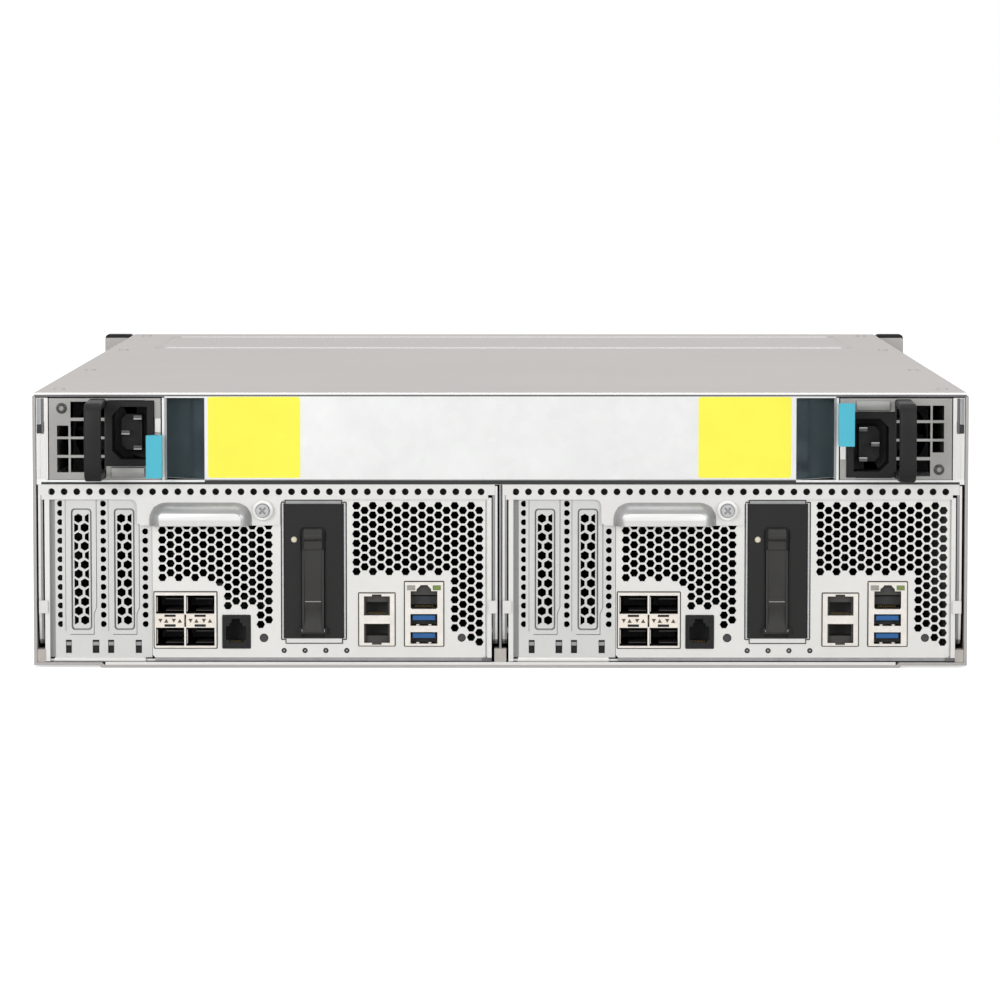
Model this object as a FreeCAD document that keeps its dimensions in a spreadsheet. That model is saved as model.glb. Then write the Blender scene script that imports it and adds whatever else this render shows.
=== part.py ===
# Rack-mount storage server, three rack units high, seen from its connector side.
# Frame: origin at the middle of the underside, +Z up, +X right when looking at the
# connector side, which faces -Y. The drive bays face +Y. All lengths are in mm.
#
# Every y position is given as a depth: the distance in front of the rear face.
# Left and right are as seen from the connector side.

import FreeCAD, Part
import Sketcher
import math
import os

# Driving sizes. Each becomes one aliased cell of the sheet.
SIZES = {
    # whole chassis
    "chassis_width": 446.2,
    "rear_offset": 300.0,
    "wall_sheet": 1.5,
    "thin_sheet": 1.2,
    "floor_low": 1.2,
    "floor_strip_width": 381.6,
    "wall_top": 130.1,
    "cover_top": 131.3,
    "cover_lip": 0.6,
    "emboss_rise": 0.7,
    "emboss_width": 398.0,
    "emboss_from_ears": 176.0,
    "emboss_length": 133.0,
    "slide_gap": 0.4,
    "cam_block_width": 4.4,
    "cam_block_top": 9.0,
    "cam_block_start": 2.0,
    "cam_block_end": 8.0,
    "screw_head_radius": 2.9,
    "screw_head_height": 0.6,
    # rack ears
    "ear_span": 482.6,
    "ear_low": 1.6,
    "ear_top": 131.0,
    "ear_sheet": 2.0,
    "ear_flange": 42.0,
    "ear_slot_length": 10.0,
    "ear_slot_height": 6.8,
    "ear_slot_shift": 0.35,
    "ear_slot_spacing_z": 57.15,
    "ear_cap_depth": 12.0,
    "ear_cap_width": 16.4,
    "power_button_radius": 4.0,
    "power_button_z": 108.0,
    # front drive bays, four columns by four rows
    "cage_gap": 7.6,
    "cage_length": 183.0,
    "cell_width": 108.6,
    "cell_height": 30.2,
    "cell_wall_x": 1.5,
    "cell_wall_z": 1.2,
    "cage_low": 3.0,
    "tray_width": 107.4,
    "tray_height": 29.4,
    "tray_setback": 8.0,
    "tray_length": 157.0,
    "bezel_thickness": 24.0,
    "tray_rail_height": 20.0,
    "disk_width": 101.6,
    "disk_height": 26.1,
    "disk_length": 147.0,
    "disk_setback": 4.0,
    "tray_lever_length": 84.0,
    "tray_lever_height": 12.0,
    "tray_lever_depth": 5.0,
    # boards between the front and the rear modules
    "midplane_gap": 20.4,
    "board_thickness": 2.4,
    "drive_socket_width": 42.0,
    "drive_socket_height": 7.0,
    "drive_socket_depth": 5.2,
    "backplane_socket_depth": 10.0,
    "power_board_gap": 11.0,
    "power_socket_width": 40.0,
    "power_socket_height": 12.0,
    "busbar_width": 18.0,
    "busbar_x": 60.0,
    "busbar_thickness": 3.0,
    # shelf above the controllers, power bays and the cover between them
    "shelf_low": 88.3,
    "shelf_lip_low": 88.0,
    "shelf_lip_top": 90.2,
    "shelf_reach": 221.3,
    "bay_outer_wall": 216.0,
    "bay_inner_wall": 160.1,
    "bay_wall_top": 129.4,
    "divider_half": 0.5,
    "divider_foot": 18.0,
    "divider_block_half": 2.9,
    "divider_block_top": 9.4,
    "cover_plate_half": 141.0,
    "cover_side": 160.1,
    "cover_slope_depth": 13.0,
    "cover_side_depth": 90.0,
    "cover_low": 90.4,
    # power supplies, given for the left one
    "psu_left_x": -215.2,
    "psu_right_x": -161.9,
    "psu_low": 90.4,
    "psu_top": 129.2,
    "psu_depth": 321.0,
    "psu_sheet": 1.0,
    "psu_turn_z": 109.8,
    "grille_cell_height": 7.4,
    "grille_row_pitch": 8.8,
    "grille_first_z": 93.9,
    "inlet_left": -187.8,
    "inlet_right": -165.2,
    "inlet_low": 97.1,
    "inlet_top": 127.9,
    "inlet_proud": 1.5,
    "inlet_depth": 23.0,
    "inlet_cavity_depth": 17.0,
    "inlet_cavity_left": -185.0,
    "inlet_cavity_right": -168.3,
    "inlet_cavity_low": 100.0,
    "inlet_cavity_top": 125.2,
    "inlet_corner": 4.2,
    "handle_left": -196.0,
    "handle_width": 8.0,
    "handle_low": 90.8,
    "handle_top": 129.0,
    "handle_reach": 30.0,
    "handle_bar": 4.0,
    "latch_stem_left": -163.4,
    "latch_stem_right": -162.2,
    "latch_low": 92.0,
    "latch_top": 112.4,
    "latch_pad_left": -167.9,
    "latch_pad_right": -160.3,
    "latch_reach": 15.0,
    "latch_pivot_depth": 44.0,
    "latch_pivot_x": -164.6,
    "latch_pin_radius": 1.2,
    "latch_eye_radius": 2.2,
    "fan_x": -188.5,
    "fan_z": 109.8,
    "fan_depth": 36.0,
    "fan_length": 28.0,
    "fan_bore_radius": 17.6,
    "fan_tip_radius": 17.0,
    "fan_hub_radius": 9.0,
    "fan_axle_radius": 2.0,
    # controllers, given for the left one
    "controller_pitch": 221.6,
    "case_left": -216.5,
    "case_right": -6.0,
    "case_low": 3.1,
    "case_top": 86.5,
    "case_sheet": 1.0,
    "panel_sheet": 1.2,
    "panel_depth": 1.8,
    "case_depth": 405.0,
    "lever_left": -220.6,
    "lever_right": -2.6,
    "flange_right": -5.8,
    "flange_low": 80.1,
    "flange_top": 87.3,
    "flange_bend_low": 83.0,
    "tab_left": -173.4,
    "tab_right": -104.6,
    "tab_low": 68.4,
    "grip_left": -167.5,
    "grip_right": -118.8,
    "grip_top": 79.0,
    "grip_reach": 5.0,
    "grip_corner": 5.0,
    "lever_sheet": 1.2,
    "arm_sheet": 1.6,
    "arm_depth": 7.0,
    "lever_pin_depth": 9.0,
    "lever_pin_z": 17.4,
    "lever_pin_radius": 2.0,
    "arm_end_radius": 6.6,
    "lever_vent_first": -214.4,
    "lever_vent_pitch": 18.09,
    "lever_vent_z": 84.2,
    "lever_vent_across": 3.0,
    "lever_screw_x": -113.3,
    "lever_screw_z": 75.8,
    "lever_screw_radius": 4.9,
    "lever_screw_head": 4.4,
    "lever_screw_shank": 1.5,
    "lever_screw_reach": 3.6,
    "turn_gap": 0.3,
    # rear panel honeycomb
    "honeycomb_pitch": 11.2,
    "honeycomb_across": 8.9,
    # expansion slots and their cover plates
    "slot_first_x": -205.2,
    "slot_pitch": 20.5,
    "slot_width": 9.9,
    "slot_low": 18.0,
    "slot_top": 76.4,
    "slot_cover_margin": 2.2,
    "slot_cover_sheet": 0.8,
    "slot_cover_tab": 10.0,
    "slot_cell_pitch": 9.7,
    "slot_cell_across": 7.0,
    # things inside a controller
    "mainboard_low": 8.0,
    "mainboard_sheet": 1.6,
    "mainboard_left": -214.0,
    "mainboard_right": -8.5,
    "mainboard_setback": 2.0,
    "standoff_width": 5.0,
    "cooler_x": -150.0,
    "cooler_setback": 215.0,
    "cooler_size": 84.0,
    "cooler_base": 6.0,
    "cooler_height": 58.0,
    "cooler_fins": 9,
    "cooler_fin_sheet": 1.6,
    "memory_length": 133.0,
    "memory_height": 31.0,
    "memory_sheet": 3.0,
    "memory_pitch": 10.0,
    "memory_first_x": -68.0,
    "board_socket_width": 60.0,
    "board_socket_height": 20.0,
    "fan_pack_setback": 65.0,
    "fan_pack_length": 38.0,
    "fan_pack_height": 68.0,
    "fan_pack_bore": 30.0,
    "fan_pack_hub": 14.0,
    "fan_pack_pitch": 67.0,
    # connector blocks
    "port_proud": 1.4,
    "port_gap": 0.4,
    "cage_port_wall": 0.7,
    "cage_port_low_row": 10.5,
    "cage_port_high_row": 26.6,
    "cage_port_height": 8.8,
    "cage_port_depth": 40.0,
    # backup battery module and its lever
    "battery_left": -103.4,
    "battery_right": -75.0,
    "battery_low": 14.5,
    "battery_top": 78.5,
    "battery_depth": 150.0,
    "battery_lip": 1.2,
    "battery_rail_sheet": 1.0,
    "battery_lever_left": -94.7,
    "battery_lever_right": -84.3,
    "battery_lever_top": 66.6,
    "battery_pivot_z": 17.8,
    "battery_pivot_out": 0.9,
    "battery_barrel_radius": 1.6,
    "battery_pin_radius": 0.8,
    "battery_lever_sheet": 1.2,
    "battery_hook_reach": 3.0,
    "battery_recess": 1.6,
    # locate button
    "button_x": -113.1,
    "button_z": 14.3,
    "button_radius": 1.8,
    "button_length": 6.0,
    "button_travel": 0.8,
}

# Connector blocks of the left controller: left, right, low, top, depth.
BLOCKS = {
    "transceiver_cage": (-165.4, -135.8, 9.6, 36.2, 48.0),
    "service_jack": (-132.6, -119.9, 9.6, 24.9, 18.0),
    "network_pair": (-67.8, -50.3, 9.6, 36.5, 24.0),
    "network_and_usb": (-45.9, -27.0, 9.6, 41.6, 24.0),
}

# Cavities in those blocks: block, left, right, low, top, depth.
CAVITIES = {
    "service_socket": ("service_jack", -131.0, -121.4, 12.6, 20.4, 12.0),
    "network_low": ("network_pair", -65.3, -52.8, 11.4, 21.4, 13.0),
    "network_high": ("network_pair", -65.3, -52.8, 25.2, 35.3, 13.0),
    "network_single": ("network_and_usb", -42.8, -30.0, 28.4, 39.2, 13.0),
    "usb_high": ("network_and_usb", -43.1, -29.9, 20.3, 26.0, 12.0),
    "usb_low": ("network_and_usb", -43.1, -29.9, 11.8, 17.5, 12.0),
}

# Areas of the rear panel filled with honeycomb: left, right, low, top.
HONEYCOMBS = (
    (-164.5, -135.0, 39.4, 79.5),
    (-137.5, -108.6, 28.0, 79.5),
    (-70.6, -8.0, 44.6, 79.5),
    (-23.0, -8.0, 12.0, 52.0),
)

EDGE_NAMES = ("left", "right", "low", "top", "depth")
for block_name, edges in BLOCKS.items():
    for edge_name, edge in zip(EDGE_NAMES, edges):
        SIZES[block_name + "_" + edge_name] = edge
for cavity_name, (_, *edges) in CAVITIES.items():
    for edge_name, edge in zip(EDGE_NAMES, edges):
        SIZES[cavity_name + "_" + edge_name] = edge


class Size:
    """A length together with the sheet expression that gives it."""

    def __init__(self, value, text):
        self.value = float(value)
        self.text = text

    def __add__(self, other):
        other = as_size(other)
        return Size(self.value + other.value, "(" + self.text + " + " + other.text + ")")

    def __sub__(self, other):
        other = as_size(other)
        return Size(self.value - other.value, "(" + self.text + " - " + other.text + ")")

    def __mul__(self, factor):
        return Size(self.value * factor, "(" + self.text + " * " + repr(factor) + ")")

    def __truediv__(self, factor):
        return Size(self.value / factor, "(" + self.text + " / " + repr(factor) + ")")

    def __radd__(self, other):
        return as_size(other) + self

    def __rsub__(self, other):
        return as_size(other) - self

    __rmul__ = __mul__

    def __neg__(self):
        return Size(-self.value, "(0 - " + self.text + ")")


def as_size(number):
    if isinstance(number, Size):
        return number
    return Size(number, "(" + repr(number) + ")")


doc = FreeCAD.newDocument("StorageServer")
sheet = doc.addObject("Spreadsheet::Sheet", "Dims")
for row, (alias, value) in enumerate(SIZES.items(), start=1):
    sheet.set("A" + str(row), alias.replace("_", " "))
    sheet.set("B" + str(row), str(value))
    sheet.setAlias("B" + str(row), alias)
doc.recompute()


def size(alias):
    return Size(SIZES[alias], "Dims." + alias)


def depth(distance):
    """The y position at a distance in front of the rear face."""
    return as_size(distance) - size("rear_offset")


def middle(low, high):
    return (as_size(low) + high) / 2


# Depths that follow from the lengths of the modules, from rear to front.
power_board_start = size("psu_depth") + size("power_board_gap")
midplane_start = size("case_depth") + size("midplane_gap")
cage_start = midplane_start + size("cage_gap")
cage_end = cage_start + size("cage_length")
ear_face = cage_end + size("ear_sheet")


exports = []


def keep(item, label=None):
    """Mark an object as a sub-part that is written out under its label."""
    if label:
        item.Label = label
    exports.append(item)
    return item


def new_body(name):
    body = doc.addObject("PartDesign::Body", name)
    body.Label = name
    return body


# Sketches lie on the body's own planes. For each plane: its role, the two axes that the
# sketch runs along, and the sign of its normal along the third axis.
PLANES = {
    "XY": ("XY_Plane", 1),
    "XZ": ("XZ_Plane", -1),
    "YZ": ("YZ_Plane", 1),
}


def new_sketch(body, plane, position):
    """An empty sketch on a plane of the body, at a position along the third axis."""
    role, sign = PLANES[plane]
    sketch = body.newObject("Sketcher::SketchObject", body.Name + "_sketch")
    origin_plane = [f for f in body.Origin.OriginFeatures if f.Role == role][0]
    sketch.AttachmentSupport = [(origin_plane, "")]
    sketch.MapMode = "FlatFace"
    sketch.setExpression("AttachmentOffset.Base.z", (as_size(position) * sign).text)
    return sketch


def fix_point(sketch, geometry, point, x, y):
    for kind, along in (("DistanceX", as_size(x)), ("DistanceY", as_size(y))):
        rule = Sketcher.Constraint(kind, -1, 1, geometry, point, along.value)
        index = sketch.addConstraint(rule)
        sketch.setExpression("Constraints[" + str(index) + "]", along.text)


def add_polygon(sketch, points):
    points = [(as_size(x), as_size(y)) for x, y in points]
    corners = [FreeCAD.Vector(x.value, y.value, 0) for x, y in points]
    count = len(corners)
    first = sketch.GeometryCount
    lines = [Part.LineSegment(corners[i], corners[(i + 1) % count]) for i in range(count)]
    sketch.addGeometry(lines, False)
    for i in range(count):
        following = first + (i + 1) % count
        sketch.addConstraint(Sketcher.Constraint("Coincident", first + i, 2, following, 1))
        fix_point(sketch, first + i, 1, *points[i])


def add_circle(sketch, x, y, radius):
    centre = FreeCAD.Vector(as_size(x).value, as_size(y).value, 0)
    up = FreeCAD.Vector(0, 0, 1)
    circle = sketch.addGeometry(Part.Circle(centre, up, as_size(radius).value), False)
    fix_point(sketch, circle, 3, x, y)
    index = sketch.addConstraint(Sketcher.Constraint("Radius", circle, as_size(radius).value))
    sketch.setExpression("Constraints[" + str(index) + "]", as_size(radius).text)


def add_cells(sketch, centres, across, flat_top):
    """Free hexagons, too many to constrain one by one; they follow the sheet through this code."""
    radius = as_size(across).value / math.sqrt(3)
    start = 0 if flat_top else 30
    angles = [math.radians(start + 60 * k) for k in range(6)]
    lines = []
    for x, z in centres:
        corners = [
            FreeCAD.Vector(x + radius * math.cos(a), z + radius * math.sin(a), 0)
            for a in angles
        ]
        lines += [Part.LineSegment(corners[k], corners[(k + 1) % 6]) for k in range(6)]
    sketch.addGeometry(lines, False)


def rectangle(left, right, low, top):
    return [(left, low), (right, low), (right, top), (left, top)]


def round_polygon(x, y, radius, sides):
    """A circle drawn with few sides, for round things that are tiny or hidden."""
    points = []
    for i in range(sides):
        turn = math.tau * (i + 0.5) / sides
        points.append((
            as_size(x) + as_size(radius) * math.cos(turn),
            as_size(y) + as_size(radius) * math.sin(turn),
        ))
    return points


def fill_sketch(sketch, shapes):
    """Each shape is a list of corners, a (x, y, radius) circle, or a dict of cells."""
    for shape in shapes:
        if isinstance(shape, dict):
            add_cells(sketch, **shape)
        elif isinstance(shape, tuple):
            add_circle(sketch, *shape)
        else:
            add_polygon(sketch, shape)


def pad(body, plane, low, high, *shapes):
    """Add material over the shapes from low to high along the plane's third axis."""
    sign = PLANES[plane][1]
    sketch = new_sketch(body, plane, low if sign > 0 else high)
    fill_sketch(sketch, shapes)
    feature = body.newObject("PartDesign::Pad", body.Name + "_pad")
    feature.Profile = sketch
    feature.setExpression("Length", (as_size(high) - low).text)
    doc.recompute()
    return feature


def cut(body, plane, low, high, *shapes):
    """Remove the shapes from low to high, and make sure that something was removed."""
    sign = PLANES[plane][1]
    before = body.Shape.Volume
    sketch = new_sketch(body, plane, high if sign > 0 else low)
    fill_sketch(sketch, shapes)
    feature = body.newObject("PartDesign::Pocket", body.Name + "_pocket")
    feature.Profile = sketch
    feature.setExpression("Length", (as_size(high) - low).text)
    doc.recompute()
    if not body.Shape.Volume < before - 1e-3:
        raise RuntimeError(feature.Label + " removes nothing")
    return feature


def round_edges(body, radius, chosen, kind="PartDesign::Fillet"):
    """Fillet or chamfer the edges whose middle point is chosen."""
    tip = body.Tip
    names = []
    for index, edge in enumerate(tip.Shape.Edges, start=1):
        point = edge.valueAt((edge.FirstParameter + edge.LastParameter) / 2)
        if chosen(point, edge):
            names.append("Edge" + str(index))
    if not names:
        raise RuntimeError("no edge to round on " + body.Label)
    feature = body.newObject(kind, body.Name + "_edge")
    feature.Base = (tip, names)
    feature.setExpression(
        "Radius" if kind.endswith("Fillet") else "Size", as_size(radius).text
    )
    doc.recompute()
    return feature


def near(number, target, reach=0.05):
    return abs(number - as_size(target).value) < reach


def along_axis(edge, axis):
    """Is this a straight edge along the axis, 0 for x, 1 for y, 2 for z?"""
    if not isinstance(edge.Curve, Part.Line):
        return False
    return abs(abs(edge.Curve.Direction[axis]) - 1) < 1e-6


def block(name, left, right, start, end, low, top):
    """A plain rectangular piece, with start and end as depths."""
    body = new_body(name)
    pad(body, "XZ", depth(start), depth(end), rectangle(left, right, low, top))
    return body


def group(label, pieces):
    """Several solids that make one sub-part."""
    compound = doc.addObject("Part::Compound", label)
    compound.Links = pieces
    compound.Label = label
    return compound


def moved_copy(label, source, x=None, y=None, z=None):
    """The same piece again, carried to another place."""
    copy = group(label, [source])
    for axis, distance in (("x", x), ("y", y), ("z", z)):
        if distance is not None:
            copy.setExpression("Placement.Base." + axis, as_size(distance).text)
    return copy


def turned_copy(label, source):
    """The same piece again, turned half a turn about the line through the bay centres."""
    copy = group(label, [source])
    copy.Placement = FreeCAD.Placement(
        FreeCAD.Vector(0, 0, 2 * SIZES["psu_turn_z"]),
        FreeCAD.Rotation(FreeCAD.Vector(0, 1, 0), 180),
    )
    copy.setExpression("Placement.Base.z", (size("psu_turn_z") * 2).text)
    return copy


# Chassis: one folded floor with its two side walls

half_width = size("chassis_width") / 2
half_strip = size("floor_strip_width") / 2
wall = size("wall_sheet")
inner_half = half_width - wall
floor_top = size("floor_low") + wall


def build_chassis_base():
    """A U of sheet steel whose floor is pressed down in a broad strip that it stands on."""
    body = new_body("chassis_base")
    half = [
        (half_strip, 0),
        (half_strip + size("floor_low"), size("floor_low")),
        (half_width, size("floor_low")),
        (half_width, size("wall_top")),
        (inner_half, size("wall_top")),
        (inner_half, floor_top),
        (half_strip, floor_top),
        (half_strip - size("floor_low"), wall),
    ]
    mirrored = [(-x, z) for x, z in reversed(half)]
    pad(body, "XZ", depth(0), depth(cage_end), half + mirrored)
    width = size("cam_block_width")
    blocks = (
        rectangle(inner_half - width, inner_half, floor_top, size("cam_block_top")),
        rectangle(-inner_half, width - inner_half, floor_top, size("cam_block_top")),
    )
    start, end = size("cam_block_start"), size("cam_block_end")
    pad(body, "XZ", depth(start), depth(end), *blocks)
    return keep(body)


def build_top_cover():
    """A flat cover with a rolled rear edge and one broad pressed rectangle over the drives."""
    body = new_body("top_cover")
    low, top = size("wall_top"), size("cover_top")
    sheet_half = (top - low) / 2
    profile = [
        (depth(0), low),
        (depth(0), low + sheet_half),
        (depth(0) + sheet_half, top),
        (depth(cage_end), top),
        (depth(cage_end), low),
    ]
    pad(body, "YZ", -half_width, half_width, profile)
    lip = rectangle(depth(0), depth(size("thin_sheet")), low - size("cover_lip"), low)
    pad(body, "YZ", -inner_half, inner_half, lip)
    reach = size("emboss_width") / 2
    near_end = depth(ear_face - size("emboss_from_ears"))
    far_end = near_end + size("emboss_length")
    rise = size("emboss_rise")
    pad(body, "XY", top, top + rise, rectangle(-reach, reach, near_end, far_end))
    inset = rise * 2
    hollow = rectangle(-reach + inset, reach - inset, near_end + inset, far_end - inset)
    cut(body, "XY", low, low + rise, hollow)
    return keep(body)


def build_screws():
    """Flat-headed screws that hold the top cover: the same screw at eight places."""
    screw = new_body("chassis_screw")
    top = size("cover_top")
    head = round_polygon(0, 0, size("screw_head_radius"), 12)
    pad(screw, "XY", top, top + size("screw_head_height"), head)
    rows = (as_size(40.0), as_size(210.0), ear_face - 198.0, ear_face - 28.0)
    x = half_width - 9.1
    places = [(sx * x, y) for y in rows for sx in (-1, 1)]
    copies = [
        moved_copy("chassis_screw_" + str(i + 1), screw, x=x, y=depth(y))
        for i, (x, y) in enumerate(places)
    ]
    return keep(group("chassis_screws", copies))


build_chassis_base()
build_top_cover()
build_screws()


# Shelf, divider and centre cover at the rear


def build_bay_shelf():
    """The shelf over the controllers, folded up at both sides of each power bay."""
    body = new_body("bay_shelf")
    thin = size("thin_sheet")
    reach, low = size("shelf_reach"), size("shelf_low")
    top = low + thin
    pad(
        body, "XZ", depth(thin), depth(power_board_start),
        rectangle(-reach, reach, low, top),
    )
    lip = rectangle(-reach, reach, size("shelf_lip_low"), size("shelf_lip_top"))
    pad(body, "XZ", depth(0), depth(thin), lip)
    outer, inner = size("bay_outer_wall"), size("bay_inner_wall")
    wall_top = size("bay_wall_top")
    walls = [
        rectangle(outer, outer + thin, low, wall_top),
        rectangle(-outer - thin, -outer, low, wall_top),
        rectangle(inner, inner + thin, low, wall_top),
        rectangle(-inner - thin, -inner, low, wall_top),
    ]
    pad(body, "XZ", depth(0.4), depth(power_board_start), *walls)
    flanges = [
        rectangle(outer, reach, low, wall_top),
        rectangle(-reach, -outer, low, wall_top),
    ]
    pad(body, "XZ", depth(0.4), depth(0.4) + thin, *flanges)
    notch_low, notch_top = 113.0, 118.0
    notches = [
        rectangle(outer + thin, reach - 2.2, notch_low, notch_top),
        rectangle(2.2 - reach, -outer - thin, notch_low, notch_top),
    ]
    cut(body, "XZ", depth(0), depth(0.4) + thin, *notches)
    return keep(body)


def build_bay_divider():
    """The wall between the controllers, with feet on the floor and the levers' cam block."""
    body = new_body("bay_divider")
    half = size("divider_half")
    low, top = wall, size("shelf_low")
    foot = size("divider_foot")
    profile = [
        (-foot, low), (foot, low), (foot, floor_top), (half, floor_top), (half, top),
        (-half, top), (-half, floor_top), (-foot, floor_top),
    ]
    pad(body, "XZ", depth(size("thin_sheet")), depth(size("case_depth")), profile)
    reach = size("divider_block_half")
    cam = rectangle(-reach, reach, floor_top, size("divider_block_top"))
    pad(body, "XZ", depth(size("cam_block_start")), depth(size("cam_block_end")), cam)
    return keep(body)


def build_rear_centre_cover():
    """A bent cover between the power bays: flat face, sloping shoulders and side walls."""
    body = new_body("rear_centre_cover")
    thin = size("thin_sheet")
    face, side = size("cover_plate_half"), size("cover_side")
    slope, length = depth(size("cover_slope_depth")), depth(size("cover_side_depth"))
    outer = [(face, depth(0)), (side, slope), (side, length)]
    inner = [
        (side - thin, length),
        (side - thin, slope + thin * 0.35),
        (face - thin * 0.35, depth(thin)),
    ]
    half = outer + inner
    mirrored = [(-x, y) for x, y in reversed(half)]
    pad(body, "XY", size("cover_low"), size("bay_wall_top"), half + mirrored)
    return keep(body)


build_bay_shelf()
build_bay_divider()
build_rear_centre_cover()


# Front: drive cage, sixteen drive trays, rack ears

COLUMNS = 4
ROWS = 4
column_pitch = size("cell_width") + size("cell_wall_x")
row_pitch = size("cell_height") + size("cell_wall_z")
first_cell_x = column_pitch * (-COLUMNS / 2) + size("cell_wall_x") / 2
first_cell_z = size("cage_low") + size("cell_wall_z")


def build_drive_cage():
    """A frame of sixteen cells, each open from front to back."""
    body = new_body("drive_cage")
    half = column_pitch * (COLUMNS / 2) + size("cell_wall_x") / 2
    top = size("cage_low") + row_pitch * ROWS + size("cell_wall_z")
    start, end = depth(cage_start), depth(cage_end)
    pad(body, "XZ", start, end, rectangle(-half, half, size("cage_low"), top))
    cells = []
    for column in range(COLUMNS):
        for row in range(ROWS):
            left = first_cell_x + column_pitch * column
            low = first_cell_z + row_pitch * row
            right, high = left + size("cell_width"), low + size("cell_height")
            cells.append(rectangle(left, right, low, high))
    cut(body, "XZ", start, end, *cells)
    return keep(body)


def build_drive_tray():
    """One tray about x = 0 and z = 0: carrier, slotted bezel, bezel lever and disk."""
    half, height = size("tray_width") / 2, size("tray_height")
    start = cage_start + size("tray_setback")
    end = start + size("tray_length")
    disk_half = size("disk_width") / 2
    carrier = new_body("tray_carrier")
    outline = [
        (-half, depth(start)), (-disk_half, depth(start)), (-disk_half, depth(end - 6)),
        (disk_half, depth(end - 6)), (disk_half, depth(start)), (half, depth(start)),
        (half, depth(end)), (-half, depth(end)),
    ]
    pad(carrier, "XY", 0, size("tray_rail_height"), outline)
    disk_start = cage_start + size("disk_setback")
    disk = block(
        "tray_disk", -disk_half, disk_half, disk_start, disk_start + size("disk_length"),
        0.8, size("disk_height") + 0.8,
    )
    bezel = new_body("tray_bezel")
    bezel_end = end + size("bezel_thickness")
    pad(bezel, "XZ", depth(end), depth(bezel_end), rectangle(-half, half, 0, height))
    slots = [
        rectangle(half - 17.0, half - 3.0, z, z + 3.4) for z in (4.0, 9.2, 14.4, 19.6)
    ]
    cut(bezel, "XZ", depth(end), depth(bezel_end), *slots)
    lever_left = -half + 3.0
    lever = new_body("tray_lever")
    lever_low = (height - size("tray_lever_height")) / 2
    reach = size("tray_lever_depth")
    profile = [
        (lever_left, depth(bezel_end)),
        (lever_left + size("tray_lever_length"), depth(bezel_end)),
        (lever_left + size("tray_lever_length") - 4.0, depth(bezel_end) + reach),
        (lever_left + 2.0, depth(bezel_end) + reach),
    ]
    pad(lever, "XY", lever_low, lever_low + size("tray_lever_height"), profile)
    return group("drive_tray", [carrier, disk, bezel, lever])


build_drive_cage()
tray = build_drive_tray()
for number in range(COLUMNS * ROWS):
    column, row = number % COLUMNS, number // COLUMNS
    tray_x = first_cell_x + column_pitch * column + size("cell_width") / 2
    tray_z = first_cell_z + row_pitch * row + size("slide_gap")
    name = "drive_tray_%d_%d" % (row + 1, column + 1)
    keep(moved_copy(name, tray, x=tray_x, z=tray_z))


def build_rack_ear(side, label):
    """A folded ear with two rack slots, and the plastic cap on its front."""
    ear = new_body(label + "_plate")
    face = depth(ear_face)
    back = face - size("ear_sheet")
    tip = size("ear_span") / 2
    low, top = size("ear_low"), size("ear_top")

    def span(inner, outer):
        return (inner, outer) if side > 0 else (-outer, -inner)

    pad(ear, "XZ", back, face, rectangle(*span(half_width, tip), low, top))
    flange = rectangle(*span(half_width, half_width + wall), low + 6.0, top - 12.0)
    pad(ear, "XZ", face - size("ear_flange"), back, flange)
    ends, middles = [], []
    radius = size("ear_slot_height") / 2
    across = size("ear_slot_length") / 2 - radius
    x = middle(half_width, tip) + size("ear_slot_shift")
    for turn in (-1, 1):
        z = (low + top) / 2 + size("ear_slot_spacing_z") / 2 * turn
        edges = span(x - across, x + across)
        ends += [(end_x, z, radius) for end_x in edges]
        middles.append(rectangle(*edges, z - radius, z + radius))
    cut(ear, "XZ", back, face, *ends)
    cut(ear, "XZ", back, face, *middles)
    cap = new_body(label + "_cap")
    front = face + size("ear_cap_depth")
    inner = tip - size("ear_cap_width")
    pad(cap, "XZ", face, front, rectangle(*span(inner, tip), low, top))
    window = rectangle(*span(inner + 1.6, tip - 1.6), low + 12.0, top - 34.0)
    cut(cap, "XZ", face, front, window)
    if side < 0:
        button = (inner - tip) / 2 - inner, size("power_button_z")
        hole = size("power_button_radius") + size("turn_gap")
        cut(cap, "XZ", face + 2.0, front, (*button, hole))
        plunger = new_body("power_button")
        pad(
            plunger, "XZ", face + 4.0, front + 0.6,
            (*button, size("power_button_radius")),
        )
        keep(plunger)
    return keep(group(label, [ear, cap]))


build_rack_ear(-1, "rack_ear_left")
build_rack_ear(1, "rack_ear_right")


# Boards that join the modules


def build_midplane():
    """The board behind the drives: a drive socket per bay, and sockets for the rear modules."""
    start, end = midplane_start, midplane_start + size("board_thickness")
    half = inner_half - 1.0
    board = block("midplane_pcb", -half, half, start, end, floor_top, size("bay_wall_top"))
    pieces = [board]
    width, height = size("drive_socket_width"), size("drive_socket_height")
    for column in range(COLUMNS):
        for row in range(ROWS):
            x = first_cell_x + column_pitch * column + size("cell_width") / 2
            z = first_cell_z + row_pitch * row + 4.0
            socket = block(
                "drive_socket_%d_%d" % (row + 1, column + 1), x - width / 2, x + width / 2,
                end, end + size("drive_socket_depth"), z, z + height,
            )
            pieces.append(socket)
    width, height = size("board_socket_width"), size("board_socket_height")
    for turn, side in ((0, "left"), (1, "right")):
        x = middle(size("case_left"), size("case_right")) + size("controller_pitch") * turn
        low = size("mainboard_low") + size("mainboard_sheet")
        socket = block(
            "controller_socket_" + side, x - width / 2, x + width / 2,
            start - size("backplane_socket_depth"), start, low, low + height,
        )
        pieces.append(socket)
    return keep(group("midplane_board", pieces))


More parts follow.
